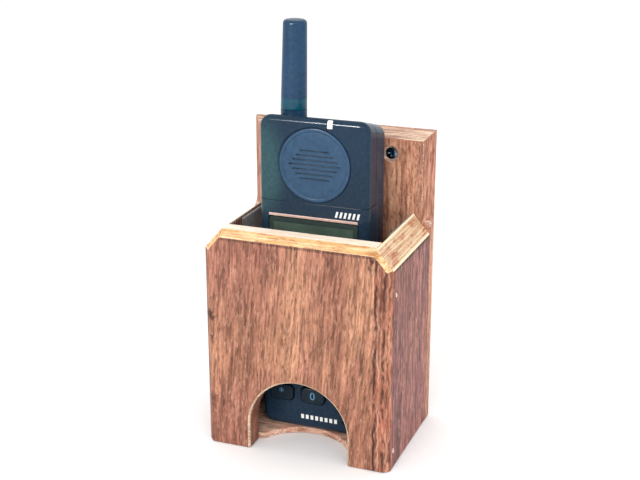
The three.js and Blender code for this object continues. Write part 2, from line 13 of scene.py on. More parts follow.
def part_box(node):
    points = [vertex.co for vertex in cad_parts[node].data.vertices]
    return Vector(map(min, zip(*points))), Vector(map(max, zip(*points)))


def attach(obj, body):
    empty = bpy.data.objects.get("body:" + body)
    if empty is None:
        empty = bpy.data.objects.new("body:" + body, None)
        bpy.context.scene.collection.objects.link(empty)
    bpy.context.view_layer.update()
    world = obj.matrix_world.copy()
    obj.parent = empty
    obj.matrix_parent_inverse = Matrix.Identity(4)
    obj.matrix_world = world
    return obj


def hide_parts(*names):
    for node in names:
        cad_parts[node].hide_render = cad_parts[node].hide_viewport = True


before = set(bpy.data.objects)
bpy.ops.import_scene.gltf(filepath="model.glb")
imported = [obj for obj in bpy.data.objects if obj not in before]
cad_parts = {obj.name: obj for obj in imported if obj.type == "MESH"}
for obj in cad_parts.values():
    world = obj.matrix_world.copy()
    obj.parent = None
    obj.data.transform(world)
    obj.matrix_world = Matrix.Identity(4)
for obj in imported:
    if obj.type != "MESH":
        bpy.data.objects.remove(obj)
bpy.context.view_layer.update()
scene = bpy.context.scene
MM = 0.001

# -------- driving dimensions, in millimetres
GAP = 0.3  # kept between separate pieces, as in the CAD
FAR = 300  # beyond everything, for cutters

# wooden holder
ARCH_X = 0.6
ARCH_RADIUS = 23.6
ARCH_SPRING = 12.2
NOTCH_RADIUS = 23.5
FRONT_CHAMFER = 3.2
BOARD_TOPS = 104  # where the front and side boards end
ARCH_EASE = 0.9  # the chamfer round the arch
BOARD_EDGE = 0.35  # how far handling has rounded the boards' edges
FELT_EDGE = 0.5  # how far the liner's edges are crushed
FELT_CORNER = 1.0
SCREW_SHANK = 1.4
SCREW_HEAD_DEPTH = 1.3
SCREW_DOME = 0.25
CROSS_RECESS = ((-1, 1.75, 0.5), (0.1, 1.55, 0.38), (1, 0.6, 0.2))  # depth, arm and half width
BRAD_LENGTH = 13

# handset
EDGE_ROUND = 3.4
OUTLINE_RADII = (5, 5, 5, 5.8)
RADIO_TOP = 146.4  # at the rear face
TOP_RISE = 6.6  # how much higher the sloping top is at the front face
SLOPE_START = 110.4  # only what is above this follows the slope
WALL = 2
HOLLOW_CORNER = 3
PARTING_LIP = 0.18  # the chamfer that makes the parting line
RECESS = 1.4
MOUTH = 0.3  # the small chamfer round every opening in the covers
FIT = 0.2  # round what sits in the covers
SEAM = {"z": 113.7, "width": 0.5, "depth": 0.35}
EARPIECE_SEAT = {"chamfer": 0.7, "clearance": 0.15, "ledge": 3}
EARPIECE_DISH = (  # radius and depth below the rim
    (0.2, 0.42), (4, 0.4), (8, 0.35), (12, 0.28), (14.2, 0.24), (14.6, 0.34), (14.9, 0.34),
    (15.2, 0.06), (15.4, 0),
)
SOUND_SLOTS = {"per_side": 3, "width": 0.5, "pitch": 2.1, "longest": 12, "step": 1.7}
WINDOW_SEAT = {"chamfer": MOUTH, "clearance": 0.3, "ledge": 3}
WINDOW_CORNER = 1.4
WINDOW_EDGE = 0.25
WINDOW_BORDER = 2.2  # how wide the pane's border is
PANEL_STEP = 0.02  # how far the window's clear panel lies below its border
TRIM_CORNER = 0.15
TRIM_EDGE = 0.2
TRIM_GAP = 0.1
KEY_ROUND = 0.6
KEY_CROWN = 0.14
KEY_CROWN_REACH = 2.9  # how far in from the cap's rim the crown is highest
KEY_CLEARANCE = 0.4
KEY_CORNER = 2.6
KEY_FLANGE = 0.8  # how far a key's flange reaches past its cap
KEY_FLANGE_THICKNESS = 0.7
VOLUME_CORNER = 0.6
LEGEND_SIZE = 5.4
LEGEND_THICKNESS = 0.03
MIC = {"x": 15.2, "z": 9.6, "radius": 0.8}
BOSS = {"x": 21.8, "low": 10, "high": 105.5, "radius": 2.4, "hole": 1.2, "head": 2.1, "head_depth": 1.3}
CONNECTOR_MOUTH = {"half": 7.3, "front": -5.4, "back": -1.6}
UPPER_MARK = {"bars": 6, "x": 10.4, "pitch": 2.0, "width": 1.0, "low": 108.9, "high": 111.6, "slant": 0.25}
LOWER_MARK = {"bars": 8, "x": -6, "pitch": 2.35, "width": 1.4, "low": 8.5, "high": 10.6, "slant": 0.0}
MARK_THICKNESS = 0.06

# battery
BATTERY_WALL = 1.1
BATTERY_CORNER = 2
LATCH_TRAVEL = 2
GRIP = {"grooves": 7, "lowest": 30, "pitch": 3.2, "longest": 13, "step": 0.5, "half_width": 0.2}

# antenna
ANTENNA_LEAN = 1.2  # degrees
ANTENNA_TOP = 192.5
ANTENNA_RADII = (5.9, 5.3)  # at the base and below the tip
ANTENNA_LIFT = 0.15  # over the collar
TIP_ROUND = 1.7
COLLAR_SEAT = 147.6
THREAD_RADIUS = 2.6
THREAD_HOLE = 2.9
BAND_TOP = 157.6  # the coloured band ends here


def box_mm(node):
    """The lowest and highest corner of a CAD node, in millimetres."""
    return tuple(Vector(round(part / MM, 3) for part in corner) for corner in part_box(node))


def axis_of(node, along):
    """Where a turned CAD node's axis lies on the other two axes, and its radius."""
    low, high = box_mm(node)
    x, y, z = ((a + b) / 2 for a, b in zip(low, high))
    if along == "x":
        return (y, z), (high.z - low.z) / 2
    return ((x, z) if along == "y" else (x, y)), (high.x - low.x) / 2


# -------- forms
def rounded(x0, z0, x1, z1, radii, steps=10):
    """A rectangle with its corners rounded, in the order bottom left, bottom right, top right, top left."""
    corners = ((x0, z0, 1, 1, 180), (x1, z0, -1, 1, 270), (x1, z1, -1, -1, 0), (x0, z1, 1, -1, 90))
    points = []
    for (x, z, inward_x, inward_z, start), radius in zip(corners, radii):
        for step in range(steps + 1):
            angle = math.radians(start + 90 * step / steps)
            points.append((
                x + inward_x * radius + radius * math.cos(angle),
                z + inward_z * radius + radius * math.sin(angle),
            ))
    return points


def grown(rectangle, radii, by, steps=10):
    """The same rounded rectangle, larger all round."""
    x0, z0, x1, z1 = rectangle
    return rounded(x0 - by, z0 - by, x1 + by, z1 + by, [max(r + by, 0.02) for r in radii], steps)


def circle(radius, centre, sides):
    return [
        (centre[0] + radius * math.cos(2 * math.pi * i / sides),
         centre[1] + radius * math.sin(2 * math.pi * i / sides))
        for i in range(sides)
    ]


def ring(outline, along, at):
    """An outline set across the X, Y or Z axis at one place on it."""
    if along == "x":
        return [(at, a, b) for a, b in outline]
    if along == "y":
        return [(a, at, b) for a, b in outline]
    return [(a, b, at) for a, b in outline]


def loft(rings, hoop=False):
    """A closed form through rings that have equally many points; in a hoop, the last ring joins the first."""
    bm = bmesh.new()
    loops = [[bm.verts.new(Vector(p) * MM) for p in points] for points in rings]
    count = len(loops[0])
    for near, far in zip(loops, loops[1:] + (loops[:1] if hoop else [])):
        for i in range(count):
            j = (i + 1) % count
            bm.faces.new((near[i], near[j], far[j], far[i]))
    if not hoop:
        bm.faces.new(reversed(loops[0]))
        bm.faces.new(loops[-1])
    bmesh.ops.recalc_face_normals(bm, faces=bm.faces)
    return bm


def prism(outline, along, low, high):
    return loft([ring(outline, along, low), ring(outline, along, high)])


def block(low, high):
    outline = [(low[0], low[1]), (high[0], low[1]), (high[0], high[1]), (low[0], high[1])]
    return prism(outline, "z", low[2], high[2])


def lathe(profile, along, centre, sides=64):
    """A turned form; the profile lists radius and place on the axis."""
    return loft([ring(circle(radius, centre, sides), along, at) for radius, at in profile])


def shaft(radius, along, low, high, centre, sides=24):
    """A plain round bar, used as a boss or a drill."""
    return lathe([(radius, low), (radius, high)], along, centre, sides)


def sweep(rectangle, radius, places, along="y", steps=6):
    """A rounded rectangle lofted along an axis; places lists where each ring is and how much larger it is."""
    return loft([ring(grown(rectangle, (radius,) * 4, by, steps), along, at) for at, by in places])


def together(forms):
    """Several forms in one mesh."""
    whole = bmesh.new()
    for form in forms:
        part = bpy.data.meshes.new("part")
        form.to_mesh(part)
        form.free()
        whole.from_mesh(part)
        bpy.data.meshes.remove(part)
    return whole


def to_object(name, form):
    mesh = bpy.data.meshes.new(name)
    form.to_mesh(mesh)
    form.free()
    piece = bpy.data.objects.new(name, mesh)
    scene.collection.objects.link(piece)
    return piece


def settle(piece):
    """Applies a piece's modifiers to its mesh."""
    graph = bpy.context.evaluated_depsgraph_get()
    mesh = bpy.data.meshes.new_from_object(piece.evaluated_get(graph))
    piece.modifiers.clear()
    piece.data = mesh


def carve(piece, form, operation="DIFFERENCE"):
    """Cuts a form out of a piece, or keeps or adds it."""
    tool = to_object("tool", form)
    modifier = piece.modifiers.new("carve", "BOOLEAN")
    modifier.operation = operation
    modifier.solver = "EXACT"
    modifier.object = tool
    settle(piece)
    bpy.data.objects.remove(tool)


def soften(piece, width=0.0, segments=2, angle=30, smooth_angle=34, spare=None):
    """Rounds a piece's sharp edges, apart from those whose middle spare picks, and shades it smoothly."""
    if width:
        bm = bmesh.new()
        bm.from_mesh(piece.data)
        sharp = math.radians(angle)
        edges = [edge for edge in bm.edges if edge.is_manifold and edge.calc_face_angle() > sharp]
        if spare:
            edges = [edge for edge in edges if not spare((edge.verts[0].co + edge.verts[1].co) / 2 / MM)]
        bmesh.ops.bevel(
            bm, geom=edges, offset=width * MM, segments=segments, profile=0.5, affect="EDGES",
            clamp_overlap=True)
        bm.to_mesh(piece.data)
        bm.free()
    piece.data.shade_smooth()
    piece.data.set_sharp_from_angle(angle=math.radians(smooth_angle))
    normals = piece.modifiers.new("normals", "WEIGHTED_NORMAL")
    normals.keep_sharp = True
    normals.weight = 80
    return piece


def refined(node, name):
    """A CAD node's form with its triangles joined into whole faces, as a new piece."""
    bm = bmesh.new()
    bm.from_mesh(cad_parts[node].data)
    bmesh.ops.remove_doubles(bm, verts=bm.verts, dist=0.002 * MM)
    bmesh.ops.dissolve_limit(bm, angle_limit=math.radians(0.4), verts=bm.verts, edges=bm.edges)
    for layer in list(bm.loops.layers.uv.values()):
        bm.loops.layers.uv.remove(layer)
    return to_object(name, bm)


def paint(piece, finish, *others, choose=None):
    """Gives a piece its finishes; choose picks a face's finish by its normal and centre, in millimetres."""
    piece.data.materials.clear()
    for material in (finish, *others):
        piece.data.materials.append(material)
    for face in piece.data.polygons:
        face.material_index = choose(face.normal, face.center / MM) if choose else 0
    return piece


def place(piece, body, slot, *nodes):
    """Sets a piece on its body and in the stead of the CAD nodes it stands for; the slot argument is not
    used.
    """
    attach(piece, body)
    if nodes:
        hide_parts(*nodes)
    return piece


# -------- finishes
class Finish:
    """A material with short calls for the nodes that feed its shader.

    Its patterns are laid out in millimetres, and its colours are 0-255 display values.
    """

    def __init__(self, name, values):
        self.material = bpy.data.materials.new(name)
        self.material.use_nodes = True
        self.tree = self.material.node_tree
        self.shader = self.tree.nodes["Principled BSDF"]
        for socket, value in values.items():
            self.shader.inputs[socket].default_value = value
        position = self.tree.nodes.new("ShaderNodeTexCoord").outputs["Object"]
        self.place = self.vector("MULTIPLY", position, (1 / MM,) * 3)

    def node(self, kind, inputs, output=0, **settings):
        made = self.tree.nodes.new("ShaderNode" + kind)
        for key, value in settings.items():
            setattr(made, key, value)
        for key, value in inputs.items():
            if isinstance(value, bpy.types.NodeSocket):
                self.tree.links.new(value, made.inputs[key])
            else:
                made.inputs[key].default_value = value
        return made.outputs[output]

    def vector(self, operation, a, b):
        return self.node("VectorMath", {0: a, 1: b}, operation=operation)

    def maths(self, operation, a, b=0.0):
        return self.node("Math", {0: a, 1: b}, operation=operation)

    def part(self, axis, at=None):
        """One coordinate of a place, in millimetres."""
        return self.node("SeparateXYZ", {0: at or self.place}, output=axis)

    def noise(self, stretch, detail=3.0, roughness=0.6, at=None, shift=(0, 0, 0)):
        """Noise whose grains per millimetre are given along X, Y and Z."""
        spread = self.vector("MULTIPLY", at or self.place, stretch)
        moved = self.vector("ADD", spread, shift)
        return self.node(
            "TexNoise", {"Vector": moved, "Scale": 1.0, "Detail": detail, "Roughness": roughness})

    def centred(self, pattern, size):
        """A pattern round 0 instead of 0.5, stretched to a size."""
        return self.maths("MULTIPLY", self.maths("SUBTRACT", pattern, 0.5), size)

    def span(self, value, low, high):
        """0 below low, 1 above high, smooth between."""
        return self.node(
            "MapRange", {"Value": value, "From Min": low, "From Max": high},
            interpolation_type="SMOOTHSTEP")

    def mix(self, share, a, b, blend="MIX"):
        made = self.tree.nodes.new("ShaderNodeMix")
        made.data_type = "RGBA"
        made.blend_type = blend
        sockets = {"Factor_Float": share, "A_Color": a, "B_Color": b}
        for socket in made.inputs:
            value = sockets.get(socket.identifier)
            if isinstance(value, bpy.types.NodeSocket):
                self.tree.links.new(value, socket)
            elif value is not None:
                socket.default_value = linear(value) if isinstance(value, tuple) else value
        return next(s for s in made.outputs if s.identifier == "Result_Color")

    def tint(self, colour, pattern, amount, ink):
        """The colour with an ink over it, as strong as the pattern times an amount."""
        return self.mix(self.maths("MULTIPLY", pattern, amount), colour, ink)

    def shade(self, colour, amount, pattern, dark, light):
        """The colour made darker and lighter by a pattern."""
        return self.mix(amount, colour, self.mix(pattern, dark, light), "OVERLAY")

    def blob(self, centre, radii, at=None):
        """1 at a point, falling to 0 on an ellipsoid round it."""
        offset = self.vector("SUBTRACT", at or self.place, centre)
        scaled = self.vector("DIVIDE", offset, radii)
        length = self.node("VectorMath", {0: scaled}, output=1, operation="LENGTH")
        return self.span(length, 1.0, 0.35)

    def feed(self, socket, value):
        self.tree.links.new(value, self.shader.inputs[socket])

    def rough(self, pattern, amount, base):
        """Roughness that rises with a pattern from its base."""
        self.feed("Roughness", self.maths("ADD", self.maths("MULTIPLY", pattern, amount), base))

    def bump(self, height, strength, depth):
        """Relief of a depth in millimetres."""
        self.feed("Normal", self.node(
            "Bump", {"Height": height, "Strength": strength, "Distance": depth * MM}))


def linear(colour):
    """A colour given in 0-255 display values, made linear."""
    shares = [value / 255 for value in colour]
    return (*(s / 12.92 if s <= 0.04045 else ((s + 0.055) / 1.055) ** 2.4 for s in shares), 1.0)


def grey(level):
    return (level, level, level)


FLECK = (218, 172, 148)
CREAM = (248, 226, 192)
# the dark of pores, knots and cracks, and of painted shadow lines under chamfers
PORE_AND_SHADE = (64, 36, 28)
TAN = (196, 144, 112)
BROWN = (140, 90, 72)
PIT = (146, 88, 52)


def wood(name, pale, rosy, dark, figure=0.5, lean=0.0, shift=(0, 0, 0), length=1.0, width=1.0, contrast=1.0,
         turned=False, tones=(), knots=(), cracks=()):
    """Open-pored wood: slow bands, fine fibres, short dark pores and pale flecks along the grain."""
    finish = Finish(name, {"Specular IOR Level": 0.15})
    at = finish.vector("ADD", finish.place, shift)
    if turned:
        at = finish.node(
            "VectorRotate", {"Vector": at, "Angle": math.pi / 2}, rotation_type="Y_AXIS")
    # the grain leans, wanders across the board and ripples
    sway = finish.centred(finish.noise((0.03, 0.03, 0.009), 1.0, 0.5, at), 8.0)
    ripple = finish.centred(finish.noise((0.2, 0.2, 0.1), 2.0, 0.5, at), 2.0 * figure)
    moved = finish.maths("ADD", sway, ripple)
    leaning = finish.maths("SUBTRACT", moved, finish.maths("MULTIPLY", finish.part("Z", at), lean))
    grain = finish.vector("ADD", at, finish.node("CombineXYZ", {"X": leaning, "Y": moved}))
    board = finish.vector("ADD", finish.place, finish.node("CombineXYZ", {"X": leaning}))

    def streaks(across, along, detail=2.0, roughness=0.55, start=(0, 0, 0)):
        return finish.noise((across / width, across / width, along / length), detail, roughness, grain, start)

    bands = finish.span(streaks(0.2, 0.006), 0.42, 0.62)
    fibres = streaks(0.85, 0.035, 4.0, 0.66)
    fine = streaks(1.7, 0.3, 2.0, 0.6, (31, 7, 3))
    pores = finish.span(streaks(1.2, 0.13, start=(5, 17, 9)), 0.55, 0.66)
    flecks = finish.span(streaks(1.1, 0.16, start=(43, 3, 21)), 0.56, 0.67)
    blotches = finish.span(finish.noise((0.03, 0.03, 0.02), at=at, shift=(2, 5, 11)), 0.38, 0.62)
    colour = finish.tint(finish.mix(blotches, pale, rosy), bands, 0.45, dark)
    # tones are colour patches, and thin painted shadow lines under chamfers
    for centre, radii, ink, share in tones:
        colour = finish.tint(colour, finish.blob(centre, radii, board), share, ink)
    spread = 0.18 / contrast
    colour = finish.shade(
        colour, 0.8, finish.span(fibres, 0.5 - spread, 0.5 + spread), (118, 112, 110), grey(226))
    colour = finish.tint(colour, finish.span(fine, 0.4, 0.66), 0.3 * contrast, dark)
    colour = finish.tint(colour, flecks, 0.26 * contrast, FLECK)
    colour = finish.tint(colour, pores, 0.5 * contrast, PORE_AND_SHADE)
    # knots have crumbling rims
    crumble = finish.node(
        "TexNoise", {"Vector": finish.place, "Scale": 0.35, "Detail": 3.0}, output=1)
    offset = finish.vector("MULTIPLY", finish.vector("SUBTRACT", crumble, (0.5, 0.5, 0.5)), (5, 5, 9))
    frayed = finish.vector("ADD", finish.place, offset)
    for centre, radii, share in knots:
        colour = finish.tint(colour, finish.blob(centre, radii, frayed), share, PORE_AND_SHADE)
    for x, half, ink, share in cracks:
        colour = finish.tint(colour, crack_line(finish, x, half), share, ink)
    finish.feed("Base Color", colour)
    relief = finish.maths("SUBTRACT", finish.maths("ADD", finish.maths("MULTIPLY", fibres, 0.5), fine), pores)
    finish.bump(relief, 0.5, 0.08)
    finish.rough(fibres, 0.3, 0.38)
    return finish.material


def crack_line(finish, x, half):
    """1 on a broken wavy upright line, 0 away from it."""
    wave = finish.centred(finish.noise((0.02, 0.02, 0.13), shift=(x, 0, 0)), 4.0)
    middle = finish.maths("ADD", wave, x)
    distance = finish.maths("ABSOLUTE", finish.maths("SUBTRACT", finish.part("X"), middle))
    gaps = finish.span(finish.noise((0.02, 0.02, 0.09), 2.0, 0.6, shift=(0, x, 7)), 0.4, 0.52)
    return finish.maths("MULTIPLY", finish.span(distance, half, 0.4 * half), gaps)


def cut_wood(name, pale, tan, spot, spots=0.5, along="x", patch=None, edges=None):
    """Freshly routed wood: pale lines left by the bit, with brown patches and pits drawn out along the cut.

    Edges names the two distances from the middle, along X, at which the cut ends in a cream line.
    """
    finish = Finish(name, {"Specular IOR Level": 0.12})
    stretch = {"x": (0.1, 0.5, 0.5), "y": (0.5, 0.1, 0.5)}[along]
    fine_stretch = tuple(2.6 * s if s > 0.2 else 0.3 * s for s in stretch)
    grain_stretch = tuple(4 * s for s in stretch)
    broad = finish.span(finish.noise(tuple(0.5 * s for s in stretch)), 0.36, 0.64)
    patches = finish.span(finish.noise(patch or stretch, 3.0, 0.62, shift=(4, 9, 2)), 0.5, 0.6)
    lines = finish.span(finish.noise(fine_stretch, 2.0, 0.6, shift=(8, 3, 6)), 0.46, 0.66)
    grains = finish.noise(grain_stretch)
    pits = finish.span(finish.noise(grain_stretch, 2.0, 0.55, shift=(13, 5, 8)), 0.6, 0.7)
    colour = finish.tint(finish.mix(broad, pale, tan), patches, spots, spot)
    colour = finish.tint(colour, lines, 0.6, CREAM)
    colour = finish.shade(colour, 0.4, finish.span(grains, 0.3, 0.7), (140, 136, 130), grey(225))
    colour = finish.tint(colour, pits, 0.3, PIT)
    if edges:
        middle, half = sum(edges) / 2, (edges[1] - edges[0]) / 2
        from_centre = finish.maths("ABSOLUTE", finish.part("X"))
        from_middle = finish.maths("ABSOLUTE", finish.maths("SUBTRACT", from_centre, middle))
        colour = finish.mix(finish.span(from_middle, half - 1.1, half - 0.5), colour, CREAM)
    finish.feed("Base Color", colour)
    finish.bump(finish.maths("SUBTRACT", grains, pits), 0.45, 0.07)
    finish.rough(grains, 0.25, 0.4)
    return finish.material


def plastic(name, base, patch, roughness, grain=0.5, gloss=0.5, patches=()):
    """Moulded plastic: a fine spark-eroded grain, cloudy colour and finger marks in the gloss, with any
    patches of painted light laid over the colour.
    """
    finish = Finish(name, {"IOR": 1.5, "Specular IOR Level": gloss})
    clouds = finish.span(finish.noise((0.055, 0.055, 0.05)), 0.36, 0.64)
    mottle = finish.noise((0.6, 0.6, 0.6))
    texture = finish.noise((4.5, 4.5, 4.5), 2.0, 0.55)
    colour = finish.tint(base, clouds, 0.6, patch)
    # patches: painted light, lighter blobs where light falls on one side of the piece
    for centre, radii, ink in patches:
        colour = finish.mix(finish.blob(centre, radii), colour, ink)
    colour = finish.shade(colour, 0.3, finish.span(mottle, 0.3, 0.7), grey(150), grey(226))
    scuffs = finish.span(finish.noise((0.5, 0.5, 2.6), 3.0, 0.65, shift=(9, 4, 6)), 0.66, 0.8)
    finish.feed("Base Color", finish.tint(colour, scuffs, 0.1, (130, 146, 152)))
    smudges = finish.noise((0.13, 0.13, 0.09), 4.0, 0.6, shift=(3, 8, 5))
    finish.feed("Roughness", finish.maths("ADD", finish.centred(smudges, roughness), roughness))
    finish.bump(finish.maths("ADD", texture, finish.maths("MULTIPLY", mottle, 0.4)), grain, 0.035)
    return finish.material


def metal(name, base, patch, roughness, brushed=(1.5, 1.5, 1.5)):
    """Bare or plated metal with tarnish and fine brushing."""
    finish = Finish(name, {"Metallic": 1.0})
    streaks = finish.noise(brushed)
    tarnish = finish.span(finish.noise((0.3, 0.3, 0.3), shift=(2, 6, 1)), 0.4, 0.7)
    finish.feed("Base Color", finish.mix(tarnish, base, patch))
    finish.rough(streaks, 0.22, roughness - 0.1)
    finish.bump(streaks, 0.25, 0.02)
    return finish.material


def felt(name, base, patch):
    """Pressed felt: crossing hairs with a soft sheen and some pilling."""
    finish = Finish(name, {
        "Roughness": 0.95, "Sheen Weight": 0.5, "Sheen Roughness": 0.6, "Specular IOR Level": 0.1})
    hairs = finish.noise((1.1, 2.6, 0.5), 4.0, 0.7)
    crossing = finish.noise((1.1, 0.5, 2.6), 4.0, 0.7, shift=(5, 2, 7))
    nap = finish.maths("ADD", hairs, crossing)
    pilling = finish.span(finish.noise((0.35, 0.35, 0.35)), 0.35, 0.65)
    colour = finish.mix(pilling, base, patch)
    finish.feed("Base Color", finish.shade(colour, 0.6, finish.span(nap, 0.75, 1.25), grey(90), grey(225)))
    finish.bump(nap, 0.8, 0.25)
    return finish.material


def glass(name, base, patch):
    """The display window: a dark tinted pane that hides what is behind it, with haze, dust and wipe marks."""
    finish = Finish(name, {"IOR": 1.5, "Coat Weight": 0.6, "Coat Roughness": 0.04, "Specular IOR Level": 0.3})
    haze = finish.span(finish.noise((0.09, 0.09, 0.12)), 0.35, 0.65)
    dust = finish.span(finish.noise((1.6, 1.6, 1.6), 2.0, 0.6, shift=(6, 1, 4)), 0.66, 0.74)
    finish.feed("Base Color", finish.tint(finish.mix(haze, base, patch), dust, 0.25, (150, 160, 150)))
    finish.rough(finish.noise((0.25, 0.25, 0.7), shift=(2, 2, 9)), 0.16, 0.05)
    finish.bump(haze, 0.1, 0.03)
    return finish.material


def laminate(name):
    """Circuit board: green lacquer over a glass weave, with paler tracks."""
    finish = Finish(name, {"Roughness": 0.4, "IOR": 1.5})
    weave_x, weave_z = (
        finish.node("TexWave", {"Vector": finish.place, "Scale": 0.5, "Distortion": 0.6},
                    output=1, bands_direction=axis)
        for axis in ("X", "Z"))
    weave = finish.maths("MULTIPLY", weave_x, weave_z)
    tracks = finish.span(finish.noise((0.25, 0.25, 1.3), 1.0, 0.4), 0.52, 0.56)
    colour = finish.tint((22, 92, 54), weave, 0.3, (48, 128, 78))
    finish.feed("Base Color", finish.tint(colour, tracks, 0.5, (70, 150, 88)))
    finish.bump(finish.maths("ADD", weave, tracks), 0.3, 0.04)
    return finish.material


# tones: centre, radii, ink and share, a few of them painted shadow lines; knots: centre, radii and share;
# cracks: x, half width, ink and share
FRONT_TONES = (
    ((-26, -31, 60), (7, 40, 90), BROWN, 0.4),
    ((-8, -31, 62), (7, 40, 80), TAN, 0.5),
    ((10, -31, 80), (6, 40, 34), BROWN, 0.6),
    ((20, -31, 78), (7, 40, 34), TAN, 0.5),
    ((31, -31, 92), (8, 40, 26), TAN, 0.8),
    ((33, -31, 25), (11, 40, 48), BROWN, 0.45),
    # painted shadow: a dark line under the front board's top chamfer
    ((0, -31, 100.1), (90, 40, 1.0), PORE_AND_SHADE, 0.6),
)
FRONT_KNOTS = (
    ((-42.5, -31, 63), (5.5, 9, 3.4), 0.85),
    ((-41, -31, 21), (4.0, 9, 2.6), 0.55),
    ((34.4, -31, 97.8), (1.5, 6, 4.6), 0.9),
)
SIDE_TONES = (
    # painted shadow: a dark line under the side board's bevel
    ((0, 0, 93.9), (200, 90, 1.1), PORE_AND_SHADE, 0.9),
    ((0, 0, 104.2), (200, 90, 1.9), CREAM, 1.0),
)
END_CRACKS = (
    (36.7, 0.8, PORE_AND_SHADE, 0.9),
    (38.3, 0.5, FLECK, 0.4),
    (40.6, 0.75, PORE_AND_SHADE, 0.8),
    (42.2, 0.5, FLECK, 0.35),
)
# painted light: lighter teal blobs on the case's left, where light falls
PAINTED_LIGHT_PATCHES = (
    ((-25, -10, 128), (15, 30, 30), (50, 78, 84)),
    ((-24, -10, 60), (14, 30, 40), (40, 66, 70)),
)

front_wood = wood(
    "front_wood", (176, 125, 98), (162, 109, 90), (112, 68, 53), figure=0.3, lean=0.06,
    shift=(12, 3, 40), length=0.65, width=1.2, tones=FRONT_TONES, knots=FRONT_KNOTS)
end_wood = wood(
    "side_board_front_edge_wood", (180, 124, 99), (160, 99, 78), (90, 52, 40), figure=1.2,
    shift=(60, 3, 8), length=0.8, contrast=1.2, cracks=END_CRACKS)
side_wood = wood(
    "side_wood", (166, 112, 100), (152, 100, 98), (102, 62, 60),
    shift=(85, 14, 21), length=0.9, width=1.7, contrast=1.35, tones=SIDE_TONES)
# partly painted light: paler than the front board's wood, making up for the shade inside the holder
back_wood = wood(
    "back_wood", (228, 172, 140), (208, 152, 122), (134, 84, 66),
    shift=(23, 55, 90), length=0.4, width=1.3)
back_edge_wood = wood(
    "back_edge_wood", (190, 138, 114), (174, 122, 102), (120, 76, 60), shift=(41, 9, 33), width=1.3)
# partly painted light: paler than the front board's wood, making up for the shade inside the holder
floor_wood = wood(
    "floor_wood", (240, 200, 176), (226, 180, 158), (168, 124, 102), shift=(7, 70, 33), turned=True)
rim_wood = cut_wood("routed_rim_wood", (255, 240, 226), (248, 226, 206), (226, 186, 150), 0.4)
chamfer_wood = cut_wood("routed_chamfer_wood", (224, 184, 132), (206, 158, 104), (170, 108, 60), 0.7)
bevel_wood = cut_wood("routed_bevel_wood", (206, 170, 135), (192, 151, 116), (174, 104, 74), 0.85, "y",
                      patch=(0.2, 0.12, 0.2), edges=(36, 44))
back_cut_wood = cut_wood("routed_back_wood", (186, 152, 138), (172, 134, 120), (144, 96, 80))
arch_wood = cut_wood("routed_arch_wood", (206, 180, 156), (186, 156, 132), (150, 110, 84))

# the case is lighter on its left from painted light patches
case_finish = plastic("case_plastic_moulded", (34, 52, 70), (32, 46, 60), 0.15, 0.05, 0.1, PAINTED_LIGHT_PATCHES)
pack_finish = plastic("battery_plastic_moulded", (22, 40, 50), (24, 34, 46), 0.3, 0.3, 0.25)
disc_finish = plastic("earpiece_plastic_moulded", (48, 75, 102), (44, 70, 95), 0.3, 0.3, 0.15)
key_finish = plastic("key_rubber", (27, 41, 52), (23, 36, 47), 0.45, 0.4, 0.12)
rubber_finish = plastic("antenna_rubber", (32, 62, 92), (30, 58, 82), 0.26, 0.15, 0.2)
band_finish = plastic("antenna_band", (8, 76, 94), (8, 68, 90), 0.2, 0.1, 0.3)
membrane_finish = plastic("membrane_rubber", (38, 46, 54), (32, 40, 46), 0.8, 0.5, 0.1)
cone_finish = plastic("speaker_cone_paper", (132, 150, 168), (118, 136, 156), 0.9, 0.5, 0.05)
ink_finish = plastic("pale_print", (240, 240, 236), (226, 228, 228), 0.5, 0.2)
legend_finish = plastic("key_legend_print", (84, 150, 186), (70, 134, 174), 0.5, 0.2)
call_finish = plastic("call_legend_print", (90, 190, 110), (70, 170, 96), 0.5, 0.2)
end_finish = plastic("end_legend_print", (214, 74, 62), (196, 62, 54), 0.5, 0.2)
trim_finish = plastic("pale_trim_plastic", (212, 176, 162), (190, 154, 140), 0.35, 0.2)
lens_finish = plastic("indicator_lens_plastic", (250, 250, 248), (238, 242, 242), 0.2, 0.1)
sleeve_finish = plastic("cell_sleeve_film", (44, 104, 160), (36, 88, 140), 0.3, 0.2)
border_finish = plastic("display_window_border", (50, 62, 58), (44, 56, 54), 0.5, 0.1, 0.05)
window_finish = glass("display_window_tinted", (78, 96, 84), (68, 84, 74))
felt_finish = felt("liner_felt", (74, 70, 68), (94, 88, 84))
black_steel = metal("blackened_steel", (116, 140, 162), (70, 82, 94), 0.2)
bright_steel = metal("bright_steel", (224, 222, 214), (196, 192, 184), 0.28)
tin_finish = metal("tinned_steel", (196, 200, 204), (170, 174, 176), 0.38, (0.6, 0.6, 4))
brass_finish = metal("contact_brass", (214, 176, 92), (190, 148, 74), 0.3)
laminate_finish = laminate("circuit_laminate_weave")

# -------- holder
board_low, board_high = box_mm("front_board")
board_low.x = box_mm("left_side_board")[1].x
board_high.x = box_mm("right_side_board")[0].x


def routed(normal):
    """Whether a face slants, as the router's bit leaves it, and isn't square, as the saw leaves it."""
    return sum(abs(part) > 0.2 for part in normal) > 1


def arc(centre, radius, start, end, steps):
    """Points on an arc between two angles in radians, both ends included."""
    angles = [start + (end - start) * i / steps for i in range(steps + 1)]
    return [(centre[0] + radius * math.cos(angle), centre[1] + radius * math.sin(angle)) for angle in angles]


def arch_points(by=0.0):
    return arc((ARCH_X, ARCH_SPRING), ARCH_RADIUS + by, math.pi, 0, 64)


